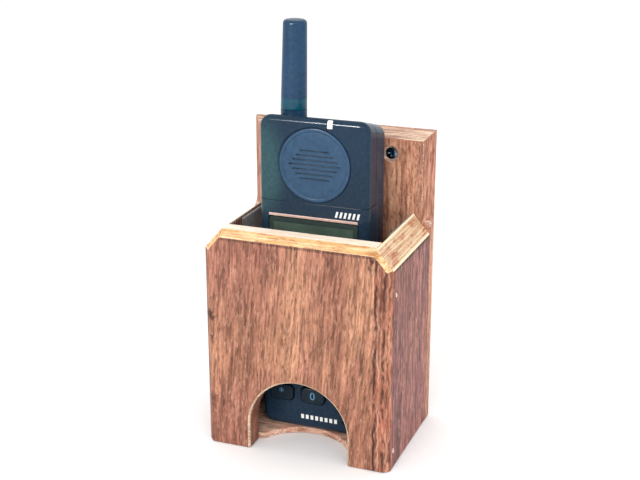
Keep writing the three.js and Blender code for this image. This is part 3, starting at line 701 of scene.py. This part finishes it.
def front_board():
    outline = [(board_low.x, 0), (ARCH_X - ARCH_RADIUS, 0), *arch_points(), (ARCH_X + ARCH_RADIUS, 0),
               (board_high.x, 0), (board_high.x, board_high.z), (board_low.x, board_high.z)]
    bm = prism(outline, "y", board_low.y, board_high.y)
    edge = Vector((0, board_low.y + FRONT_CHAMFER, board_high.z)) * MM
    bmesh.ops.bisect_plane(
        bm, geom=[*bm.verts, *bm.edges, *bm.faces], plane_co=edge, plane_no=Vector((0, -1, 1)),
        clear_outer=True)
    bmesh.ops.holes_fill(bm, edges=bm.edges, sides=0)
    bmesh.ops.recalc_face_normals(bm, faces=bm.faces)
    piece = to_object("front_board_wood", bm)
    rings = []
    for y, by in ((board_low.y - 1, ARCH_EASE), (board_low.y, ARCH_EASE), (board_low.y + ARCH_EASE, 0)):
        reach = ARCH_RADIUS + by
        rings.append(ring([(ARCH_X - reach, -1), *arch_points(by), (ARCH_X + reach, -1)], "y", y))
    carve(piece, loft(rings))
    return piece


def floor_board():
    low, high = box_mm("floor_board")
    half = math.asin((low.y - board_low.y) / NOTCH_RADIUS)
    notch = arc((ARCH_X, board_low.y), NOTCH_RADIUS, math.pi - half, half, 60)
    outline = [(low.x, low.y), *notch, (high.x, low.y), (high.x, high.y), (low.x, high.y)]
    return to_object("floor_board_wood", prism(outline, "z", low.z, high.z))


def in_arch(centre):
    return math.hypot(centre.x - ARCH_X, max(centre.z - ARCH_SPRING, 0)) < ARCH_RADIUS + ARCH_EASE


def front_board_choice(normal, centre):
    if centre.z > BOARD_TOPS - FRONT_CHAMFER:
        return 1 if normal.z > 0.9 else 2 if normal.z > 0.3 else 0
    return 3 if in_arch(centre) and -0.95 < normal.y < -0.3 else 0


def side_board_choice(normal, centre):
    if normal.z > 0.2:
        return 3 if normal.y < -0.3 else 1
    return 2 if normal.y < -0.3 else 0


def back_board_choice(normal, centre):
    if normal.y > -0.2 or not routed(normal):
        return 0
    return 1 if abs(normal.z) > 0.5 or centre.z > BOARD_TOPS and abs(centre.x) < 40 else 2


def on_joint(middle):
    """Whether an edge's middle lies where the front board meets a side board."""
    return middle.y < board_high.y + 0.1 and abs(abs(middle.x) - board_high.x) < 0.2


piece = soften(front_board(), BOARD_EDGE, spare=on_joint)
paint(piece, front_wood, rim_wood, chamfer_wood, arch_wood, choose=front_board_choice)
place(piece, "holder", "wood_face", "front_board")

piece = soften(floor_board(), BOARD_EDGE)
place(paint(piece, floor_wood), "holder", "wood_face", "floor_board")

piece = soften(refined("back_board", "back_board_wood"), BOARD_EDGE)
paint(piece, back_wood, back_cut_wood, back_edge_wood, choose=back_board_choice)
place(piece, "holder", "wood_face", "back_board")

for side, edge_wood in (("left", front_wood), ("right", end_wood)):
    piece = soften(refined(f"{side}_side_board", f"{side}_side_board_wood"), BOARD_EDGE, spare=on_joint)
    paint(piece, side_wood, bevel_wood, edge_wood, chamfer_wood, choose=side_board_choice)
    place(piece, "holder", "wood_side", f"{side}_side_board")


def felt_liner(side):
    """A strip of felt glued to a side wall, its edges a little crushed."""
    low, high = box_mm(f"{side}_felt_liner")
    edge = [(0, -FELT_EDGE), (0.3 * FELT_EDGE, -0.3 * FELT_EDGE), (FELT_EDGE, 0)]
    places = [(low.x + into, by) for into, by in edge] + [(high.x - into, by) for into, by in reversed(edge)]
    return to_object(
        f"{side}_liner_felt", sweep((low.y, low.z, high.y, high.z), FELT_CORNER, places, "x", 4))


for side in ("left", "right"):
    piece = soften(felt_liner(side), smooth_angle=60)
    place(paint(piece, felt_finish), "holder", "felt", f"{side}_felt_liner")


def cross(arm, half):
    """The outline of a cross recess."""
    quarter = [(arm, -half), (arm, half), (half, half)]
    points = []
    for turn in range(4):
        c, s = math.cos(turn * math.pi / 2), math.sin(turn * math.pi / 2)
        points += [(a * c - b * s, a * s + b * c) for a, b in quarter]
    return points


def wall_screw(side):
    """A countersunk screw with a slightly domed head and a tapering cross recess."""
    node = f"{side}_wall_screw"
    low, high = box_mm(node)
    (x, z), radius = axis_of(node, "y")
    profile = [(0.1, low.y)]
    for step in range(1, 9):
        share = step / 8
        profile.append((0.1 + (radius - 0.2) * share, low.y + SCREW_DOME * share ** 2))
    profile += [(radius, low.y + SCREW_DOME + 0.1), (radius, low.y + SCREW_DOME + 0.2),
                (SCREW_SHANK, low.y + SCREW_HEAD_DEPTH + 0.1), (SCREW_SHANK, high.y - 2), (0.4, high.y)]
    piece = to_object(f"{node}_steel", lathe(profile, "y", (x, z)))
    rings = [ring([(x + a, z + b) for a, b in cross(arm, half)], "y", low.y + depth)
             for depth, arm, half in CROSS_RECESS]
    carve(piece, loft(rings))
    return piece


def brad(node):
    """A wire brad whose small head sits flush, filed slightly round."""
    low, high = box_mm(node)
    centre, radius = axis_of(node, "x")
    outward = 1 if high.x > 0 else -1
    face = high.x if outward > 0 else low.x
    shape = [(0.08, 0), (radius * 0.7, 0.06), (radius, 0.25), (radius, BRAD_LENGTH - 1.5),
             (0.08, BRAD_LENGTH)]
    profile = [(reach, face - outward * depth) for reach, depth in shape]
    return to_object(f"{node}_steel", lathe(profile, "x", centre, 24))


for side in ("left", "right"):
    piece = soften(wall_screw(side), 0.06)
    place(paint(piece, black_steel), "holder", "black_steel", f"{side}_wall_screw")
    for level in ("lower", "upper"):
        node = f"{side}_brad_{level}"
        place(paint(soften(brad(node)), bright_steel), "holder", "bright_steel", node)

# -------- handset covers
cover_low, cover_high = box_mm("front_cover")
rear_low, rear_high = box_mm("rear_cover")
pack_low, pack_high = box_mm("battery_shell")
RADIO = (cover_low.x, cover_low.z, cover_high.x, RADIO_TOP)
RADIO_FRONT = cover_low.y
RADIO_BACK = rear_high.y
INNER_FRONT = RADIO_FRONT + WALL
KEYS = [f"key_{name}" for name in ("call", "clear", "end", *"123456789", "star", "0", "hash")]


def radio_form(y_from, y_to):
    """The handset's outer form between two depths; a flat end's small chamfer makes the parting line."""
    depths = {y_from, y_to}
    for step in range(13):
        drop = EDGE_ROUND * (1 - math.cos(math.radians(90 * step / 12)))
        depths |= {round(RADIO_FRONT + drop, 4), round(RADIO_BACK - drop, 4)}
    rings = []
    for y in sorted(d for d in depths if y_from <= d <= y_to):
        reach = max(EDGE_ROUND - (y - RADIO_FRONT), EDGE_ROUND - (RADIO_BACK - y), 0)
        inset = EDGE_ROUND - math.sqrt(max(EDGE_ROUND ** 2 - reach ** 2, 0))
        rings.append((y, inset))
    if y_from > RADIO_FRONT:
        rings[0:1] = [(y_from, PARTING_LIP), (y_from + PARTING_LIP, 0)]
    if y_to < RADIO_BACK:
        rings[-1:] = [(y_to - PARTING_LIP, 0), (y_to, PARTING_LIP)]
    return loft([sloped(ring(grown(RADIO, OUTLINE_RADII, -inset), "y", y)) for y, inset in rings])


def sloped(points):
    """A ring of the handset's form, raised where the top slopes up towards the front."""
    return [
        (x, y, z + (TOP_RISE * (RADIO_BACK - y) / (RADIO_BACK - RADIO_FRONT) if z > SLOPE_START else 0))
        for x, y, z in points
    ]


def antenna_seat():
    """The waste of the collar's flat seat and of the hole for its thread."""
    axis, radius = axis_of("antenna_collar", "z")
    return [shaft(radius + FIT, "z", COLLAR_SEAT, FAR, axis, 64),
            shaft(THREAD_HOLE, "z", RADIO_TOP - WALL - 1, FAR, axis, 32)]


def hollow(y_from, y_to, low=RADIO[1] + WALL):
    """The waste inside a cover's walls."""
    outline = rounded(RADIO[0] + WALL, low, RADIO[2] - WALL, RADIO_TOP - WALL, (HOLLOW_CORNER,) * 4)
    return prism(outline, "y", y_from, y_to)


def mouth(face):
    """Places and growths of a hole through a cover's wall, with a small chamfer at its mouth."""
    return [(face - 1, MOUTH), (face, MOUTH), (face + MOUTH, 0), (face + WALL + 1, 0)]


def seat(chamfer, clearance, ledge):
    """Places and growths of a seat in the front face: a chamfered mouth, a floor and a hole through it."""
    floor_y = RADIO_FRONT + RECESS
    return [(RADIO_FRONT - 1, chamfer + clearance), (RADIO_FRONT, chamfer + clearance),
            (RADIO_FRONT + chamfer, clearance), (floor_y, clearance), (floor_y, -ledge),
            (INNER_FRONT + 1, -ledge)]


def rectangle_of(node):
    low, high = box_mm(node)
    return (low.x, low.z, high.x, high.z)


def cap_of(node):
    """The outline of a key's cap, inside its flange."""
    x0, z0, x1, z1 = rectangle_of(node)
    return (x0 + KEY_FLANGE, z0 + KEY_FLANGE, x1 - KEY_FLANGE, z1 - KEY_FLANGE)


def boss_places():
    return [(x, z) for x in (-BOSS["x"], BOSS["x"]) for z in (BOSS["low"], BOSS["high"])]


def seam_band():
    """The waste of the shallow groove that runs round the front cover below the earpiece."""
    groove = to_object("groove", block((-FAR, -FAR, SEAM["z"]), (FAR, FAR, SEAM["z"] + SEAM["width"])))
    rings = []
    for step in range(9):
        angle = math.radians(90 * step / 8)
        rings.append((RADIO_FRONT + SEAM["depth"] + EDGE_ROUND * (1 - math.cos(angle)),
                      EDGE_ROUND * (1 - math.sin(angle)) + SEAM["depth"]))
    rings.append((FAR, SEAM["depth"]))
    carve(groove, loft([ring(grown(RADIO, OUTLINE_RADII, -inset), "y", y) for y, inset in rings]))
    bm = bmesh.new()
    bm.from_mesh(groove.data)
    bpy.data.objects.remove(groove)
    return bm


def front_cover():
    piece = to_object("front_cover_moulding", radio_form(RADIO_FRONT, cover_high.y))
    carve(piece, hollow(INNER_FRONT, cover_high.y + 1))
    carve(piece, together(
        shaft(BOSS["radius"], "y", INNER_FRONT - 1, cover_high.y - GAP, at) for at in boss_places()), "UNION")
    carve(piece, seam_band())
    centre, radius = axis_of("earpiece_cover", "y")
    trim = rectangle_of("display_trim")
    lens_low, lens_high = box_mm("indicator_lens")
    tools = [
        block((lens_low.x - FIT, RADIO_FRONT - 1, lens_low.z - FIT),
              (lens_high.x + FIT, lens_high.y + FIT, FAR)),
        *antenna_seat(),
        lathe([(radius + by, y) for y, by in seat(**EARPIECE_SEAT)], "y", centre, 96),
        sweep(rectangle_of("display_window"), WINDOW_CORNER, seat(**WINDOW_SEAT), steps=10),
        block((trim[0] - TRIM_GAP, RADIO_FRONT - 1, trim[1] - TRIM_GAP),
              (trim[2] + TRIM_GAP, RADIO_FRONT + 1, trim[3] + TRIM_GAP)),
        lathe([(MIC["radius"] + by, y) for y, by in mouth(RADIO_FRONT)], "y", (MIC["x"], MIC["z"]), 24),
        block((-CONNECTOR_MOUTH["half"], CONNECTOR_MOUTH["front"], RADIO[1] - 1),
              (CONNECTOR_MOUTH["half"], CONNECTOR_MOUTH["back"], RADIO[1] + WALL + 1)),
    ]
    key_mouth = [(y, KEY_CLEARANCE + by) for y, by in mouth(RADIO_FRONT)]
    tools += [sweep(cap_of(key), KEY_CORNER, key_mouth) for key in KEYS]
    tools += [shaft(BOSS["hole"], "y", INNER_FRONT + 1, cover_high.y + 1, at, 16) for at in boss_places()]
    for way in ("down", "up"):
        low, high = box_mm(f"volume_key_{way}")
        hole = (low.y + FIT, low.z + FIT, high.y + 2 * FIT, high.z - FIT)
        tools.append(sweep(hole, VOLUME_CORNER, mouth(RADIO[0]), "x", 4))
    for tool in tools:
        carve(piece, tool)
    return piece


def rear_cover():
    piece = to_object("rear_cover_moulding", radio_form(rear_low.y, RADIO_BACK))
    bay = pack_low.y - GAP
    shelf = pack_high.z + GAP
    carve(piece, block((-FAR, bay, pack_low.z - GAP), (FAR, FAR, shelf)))
    carve(piece, hollow(-FAR, bay - WALL))
    carve(piece, hollow(-FAR, RADIO_BACK - WALL, shelf + WALL))
    head_seat = bay - BOSS["head_depth"]
    drill = [(BOSS["hole"], rear_low.y - 1), (BOSS["hole"], head_seat), (BOSS["head"], head_seat),
             (BOSS["head"], bay + 1)]
    contact_low, contact_high = box_mm("battery_contacts")
    tools = [lathe(drill, "y", at, 24) for at in boss_places()]
    tools += antenna_seat()
    tools.append(block((contact_low.x - GAP, rear_low.y - 1, contact_low.z - GAP),
                       (contact_high.x + GAP, bay + 1, contact_high.z + GAP)))
    for tool in tools:
        carve(piece, tool)
    return piece


def battery_shell():
    """The slide-off battery's outer shell, with a finger grip of grooves low on its back."""
    piece = to_object("battery_shell_moulding", radio_form(pack_low.y, RADIO_BACK))
    carve(piece, block((-FAR, -FAR, pack_low.z), (FAR, FAR, pack_high.z)), "INTERSECT")
    outline = rounded(RADIO[0] + BATTERY_WALL + 1, pack_low.z + BATTERY_WALL,
                      RADIO[2] - BATTERY_WALL - 1, pack_high.z - BATTERY_WALL, (BATTERY_CORNER,) * 4)
    carve(piece, prism(outline, "y", pack_low.y - 1, RADIO_BACK - BATTERY_WALL))
    latch_low, latch_high = box_mm("battery_latch")
    carve(piece, block((latch_low.x - GAP, RADIO_BACK - 2, latch_low.z - LATCH_TRAVEL - GAP),
                       (latch_high.x + GAP, FAR, latch_high.z + GAP)))
    thin = GRIP["half_width"]
    grooves = []
    for index in range(GRIP["grooves"]):
        z = GRIP["lowest"] + index * GRIP["pitch"]
        half = GRIP["longest"] - GRIP["step"] * abs(index - GRIP["grooves"] // 2)
        places = ((RADIO_BACK - 0.4, 0.1), (RADIO_BACK, 0.5), (RADIO_BACK + 1, 0.5))
        grooves.append(sweep((-half, z - thin, half, z + thin), thin, places, steps=4))
    carve(piece, together(grooves))
    return piece


place(paint(soften(front_cover()), case_finish), "handset", "case_plastic", "front_cover")
place(paint(soften(rear_cover(), 0.12, 2, 50), case_finish), "handset", "case_plastic", "rear_cover")
place(paint(soften(battery_shell(), 0.15, 2, 50), pack_finish),
      "battery_pack", "case_plastic", "battery_shell")
place(paint(soften(refined("battery_latch", "battery_latch_moulding"), 0.12), key_finish),
      "battery_latch", "key_plastic", "battery_latch")

# -------- what the covers carry
def earpiece_cover():
    """The round grille: a raised rim, a dished middle and a lens of fine sound slots."""
    low, high = box_mm("earpiece_cover")
    centre, radius = axis_of("earpiece_cover", "y")
    rim = [(radius - 0.35, 0), (radius - 0.1, 0.1), (radius, 0.3)]
    profile = [(reach, low.y + depth) for reach, depth in (*EARPIECE_DISH, *rim)] + [(radius, high.y)]
    piece = to_object("earpiece_grille", lathe(profile, "y", centre, 96))
    slot = SOUND_SLOTS
    thin = slot["width"] / 2
    places = ((low.y - 1, 0.3), (low.y + 0.3, 0.3), (low.y + 0.6, 0), (high.y + 1, 0))
    tools = []
    for index in range(-slot["per_side"], slot["per_side"] + 1):
        z = centre[1] + index * slot["pitch"]
        half = slot["longest"] - slot["step"] * abs(index)
        tools.append(sweep((centre[0] - half, z - thin, centre[0] + half, z + thin), thin - 0.02, places))
    carve(piece, together(tools))
    return piece


def pane(node, name, corner, edge, border):
    """A flat moulding with a rounded front edge, whose front face may have a border round a clear panel."""
    low, high = box_mm(node)
    places = [(high.y, 0), (low.y + edge, 0), (low.y + 0.3 * edge, -0.3 * edge), (low.y, -edge)]
    if border:
        places += [(low.y, -border), (low.y + PANEL_STEP, -border - PANEL_STEP)]
    return to_object(name, sweep(rectangle_of(node), corner, places))


def key_cap(node):
    """A key with a pillowed cap above the flange that keeps it in its hole."""
    low, high = box_mm(node)
    shoulder = high.y - KEY_FLANGE_THICKNESS
    places = [(high.y, KEY_FLANGE), (shoulder, KEY_FLANGE), (shoulder, 0), (low.y + KEY_ROUND, 0)]
    for step in range(1, 6):
        angle = math.radians(90 * step / 5)
        places.append((low.y + KEY_ROUND * (1 - math.sin(angle)), -KEY_ROUND * (1 - math.cos(angle))))
    for step in range(1, 6):
        share = step / 5
        places.append((low.y - KEY_CROWN * (1 - (1 - share) ** 2), -KEY_ROUND - KEY_CROWN_REACH * share))
    return sweep(cap_of(node), KEY_CORNER, places)


LEGENDS = {"key_clear": "C", "key_star": "*", "key_hash": "#", **{f"key_{n}": str(n) for n in range(10)}}


def legend(text, x, y, z):
    """Raised print of one character on a key, as a flat form facing -Y."""
    curve = bpy.data.curves.new("legend", "FONT")
    curve.body = text
    curve.size = LEGEND_SIZE * MM
    curve.align_x = "CENTER"
    curve.align_y = "CENTER"
    curve.extrude = LEGEND_THICKNESS * MM
    curve.resolution_u = 4
    drawn = bpy.data.objects.new("legend", curve)
    scene.collection.objects.link(drawn)
    drawn.matrix_world = Matrix.Translation(Vector((x, y, z)) * MM) @ Matrix.Rotation(math.pi / 2, 4, "X")
    graph = bpy.context.evaluated_depsgraph_get()
    mesh = bpy.data.meshes.new_from_object(drawn.evaluated_get(graph))
    mesh.transform(drawn.matrix_world)
    bpy.data.objects.remove(drawn)
    bm = bmesh.new()
    bm.from_mesh(mesh)
    bpy.data.meshes.remove(mesh)
    return bm


def bar(x0, x1, z0, z1, y, thickness, slant=0.0):
    """A small printed bar, which may slant as it rises."""
    lean = slant * (z1 - z0)
    outline = [(x0, z0), (x1, z0), (x1 + lean, z1), (x0 + lean, z1)]
    return prism(outline, "y", y - thickness, y + thickness)


def round_print(x, y, z, inner, outer):
    """A printed ring."""
    near, far = y - LEGEND_THICKNESS, y + LEGEND_THICKNESS
    section = ((inner, near), (outer, near), (outer, far), (inner, far))
    return loft([ring(circle(radius, (x, z), 32), "y", at) for radius, at in section], hoop=True)


def symbol(node, x, y, z):
    """The call key's ring, the end key's bar, or a character."""
    if node == "key_call":
        return round_print(x, y, z, 1.2, 1.9)
    if node == "key_end":
        return bar(x - 2, x + 2, z - 0.6, z + 0.6, y, LEGEND_THICKNESS)
    return legend(LEGENDS[node], x, y, z)


place(paint(soften(earpiece_cover()), disc_finish), "handset", "earpiece_plastic", "earpiece_cover")

PANEL_FACE = box_mm("display_window")[0].y + PANEL_STEP


def window_choice(normal, centre):
    """The clear panel, which lies a step below its border."""
    return 1 if normal.y < -0.9 and abs(centre.y - PANEL_FACE) < PANEL_STEP / 4 else 0


piece = soften(pane("display_window", "display_pane", WINDOW_CORNER, WINDOW_EDGE, WINDOW_BORDER))
paint(piece, border_finish, window_finish, choose=window_choice)
place(piece, "handset", "display_glass", "display_window")

place(paint(soften(pane("display_trim", "display_trim_strip", TRIM_CORNER, TRIM_EDGE, 0)), trim_finish),
      "handset", "pale_trim", "display_trim")
place(paint(soften(refined("indicator_lens", "indicator_light_lens"), 0.3, 3, 20), lens_finish),
      "handset", "white_lens", "indicator_lens")

for key in KEYS:
    (x, z), _ = axis_of(key, "y")
    cap = key_cap(key)
    cap_faces = len(cap.faces)
    printed = symbol(key, x, box_mm(key)[0].y - KEY_CROWN - 0.01, z)
    piece = soften(to_object(f"{key}_cap", together([cap, printed])))
    legend_ink = {"key_call": call_finish, "key_end": end_finish}.get(key, legend_finish)
    paint(piece, key_finish, legend_ink)
    for face in piece.data.polygons:
        face.material_index = 1 if face.index >= cap_faces else 0
    place(piece, key, "key_plastic", key)

for way in ("down", "up"):
    node = f"volume_key_{way}"
    place(paint(soften(refined(node, f"{node}_cap"), 0.4, 3), key_finish), node, "key_plastic", node)


def antenna():
    """The rubber stub: a coloured base band, a slow taper and a flat tip with a rounded rim."""
    (x, y), _ = axis_of("antenna_collar", "z")
    base = box_mm("antenna_collar")[1].z + ANTENNA_LIFT
    height = ANTENNA_TOP - base
    base_radius, tip_radius = ANTENNA_RADII
    profile = [(base_radius - 0.3, 0), (base_radius - 0.08, 0.12), (base_radius, 0.4)]
    straight = height - 1.15 * TIP_ROUND
    for step in range(1, 25):
        share = step / 24
        profile.append((base_radius - (base_radius - tip_radius) * share, 0.4 + (straight - 0.4) * share))
    for step in range(1, 9):
        angle = math.radians(90 * step / 8)
        profile.append((
            tip_radius - TIP_ROUND * (1 - math.cos(angle)), straight + TIP_ROUND * math.sin(angle)))
    profile += [(2, height - 0.05), (0.1, height)]
    bm = lathe(profile, "z", (0, 0))
    lean = Matrix.Rotation(math.radians(ANTENNA_LEAN), 4, "Y")
    bm.transform(Matrix.Translation(Vector((x, y, base)) * MM) @ lean)
    return to_object("antenna_stub", bm)


def collar():
    """The moulded foot of the antenna, standing in the seat in the sloping top."""
    low, high = box_mm("antenna_collar")
    centre, radius = axis_of("antenna_collar", "z")
    foot = COLLAR_SEAT + GAP
    profile = [(THREAD_RADIUS, low.z), (THREAD_RADIUS, foot), (radius - 0.25, foot), (radius, foot + 0.25),
               (radius, high.z - 0.15), (radius - 0.2, high.z)]
    return to_object("antenna_collar_moulding", lathe(profile, "z", centre))


piece = soften(antenna())
paint(piece, rubber_finish, band_finish, choose=lambda normal, centre: 1 if centre.z < BAND_TOP - 0.2 else 0)
place(piece, "handset", "rubber", "antenna_whip")
place(paint(soften(collar()), rubber_finish), "handset", "rubber", "antenna_collar")


def mark(name, row):
    """A plain row of small bars, where the photo shows lettering."""
    bars = []
    for index in range(row["bars"]):
        x = row["x"] + row["pitch"] * index
        bars.append(bar(
            x, x + row["width"], row["low"], row["high"], RADIO_FRONT, MARK_THICKNESS, row["slant"]))
    return to_object(name, together(bars))


for name, row in (("upper_print_bars", UPPER_MARK), ("lower_print_bars", LOWER_MARK)):
    place(paint(soften(mark(name, row)), ink_finish), "handset", "white_lens")

# -------- hidden parts keep their CAD form
KEPT = {
    "circuit_board": laminate_finish, "shield_can": tin_finish, "display_module": tin_finish,
    "earpiece_speaker": cone_finish, "microphone": black_steel, "bottom_connector": brass_finish,
    "battery_contacts": brass_finish, "keypad_membrane": membrane_finish, "battery_lid": pack_finish,
}
KEPT.update({f"case_screw_{i}": bright_steel for i in range(1, 5)})
KEPT.update({f"battery_cell_{column}_{row}": sleeve_finish
             for column in ("left", "right") for row in ("lower", "upper")})
for node, material in KEPT.items():
    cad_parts[node].data.materials.clear()
    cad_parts[node].data.materials.append(material)

# -------- floor, light and camera, in metres
FLOOR_SIZE = 8.0
FLOOR_DROP = 0.0003  # keeps the floor off the boards' undersides
SKY_STRENGTH = 1.05
CAMERA_PLACE = (0.1889, -0.4904, 0.2731)
CAMERA_AZIMUTH = math.radians(21.11)
CAMERA_ELEVATION = math.radians(18.81)
CAMERA_LENS = 69.09  # in millimetres, on a sensor 36 wide

floor_form = bmesh.new()
bmesh.ops.create_grid(floor_form, x_segments=1, y_segments=1, size=FLOOR_SIZE / 2)
floor = to_object("studio_floor", floor_form)
floor.location.z = -FLOOR_DROP
floor_paint = Finish("studio_floor_paint", {"Roughness": 0.9, "Specular IOR Level": 0.0})
floor_cloud = floor_paint.noise((0.002, 0.002, 0.002), 2.0, 0.5)
floor_paint.feed("Base Color", floor_paint.mix(floor_cloud, grey(250), grey(246)))
paint(floor, floor_paint.material)

world = bpy.data.worlds.new("studio")
scene.world = world
world.use_nodes = True
sky = world.node_tree.nodes["Background"]
sky.inputs["Color"].default_value = (1.0, 1.0, 1.0, 1.0)
sky.inputs["Strength"].default_value = SKY_STRENGTH


def soft_light(name, place_at, aim, size, power, only_gloss=False):
    light = bpy.data.lights.new(name, "AREA")
    light.shape = "DISK"
    light.size = size
    light.energy = power
    lamp = bpy.data.objects.new(name, light)
    scene.collection.objects.link(lamp)
    lamp.location = place_at
    lamp.rotation_euler = (Vector(aim) - Vector(place_at)).to_track_quat("-Z", "Y").to_euler()
    lamp.visible_diffuse = not only_gloss


soft_light("key_light", (0.0, -1.15, 0.85), (0, 0, 0.09), 0.7, 7.0)
soft_light("fill_light", (0.6, -0.9, 0.75), (0, 0, 0.11), 0.5, 2.0)
soft_light("top_light", (0.1, 0.1, 1.4), (0, 0, 0.1), 0.8, 1.0)
soft_light("glint_light", (-0.32, -1.06, 0.48), (0, 0, 0.15), 0.2, 24.0, only_gloss=True)

camera_data = bpy.data.cameras.new("camera")
camera_data.sensor_width = 36
camera_data.lens = CAMERA_LENS
camera_data.clip_start = 0.01
camera_data.clip_end = 20
camera = bpy.data.objects.new("camera", camera_data)
scene.collection.objects.link(camera)
camera.location = CAMERA_PLACE
backward = Vector((
    math.sin(CAMERA_AZIMUTH) * math.cos(CAMERA_ELEVATION),
    -math.cos(CAMERA_AZIMUTH) * math.cos(CAMERA_ELEVATION),
    math.sin(CAMERA_ELEVATION),
))
camera.rotation_euler = (-backward).to_track_quat("-Z", "Y").to_euler()
scene.camera = camera
scene.view_settings.view_transform = "Standard"
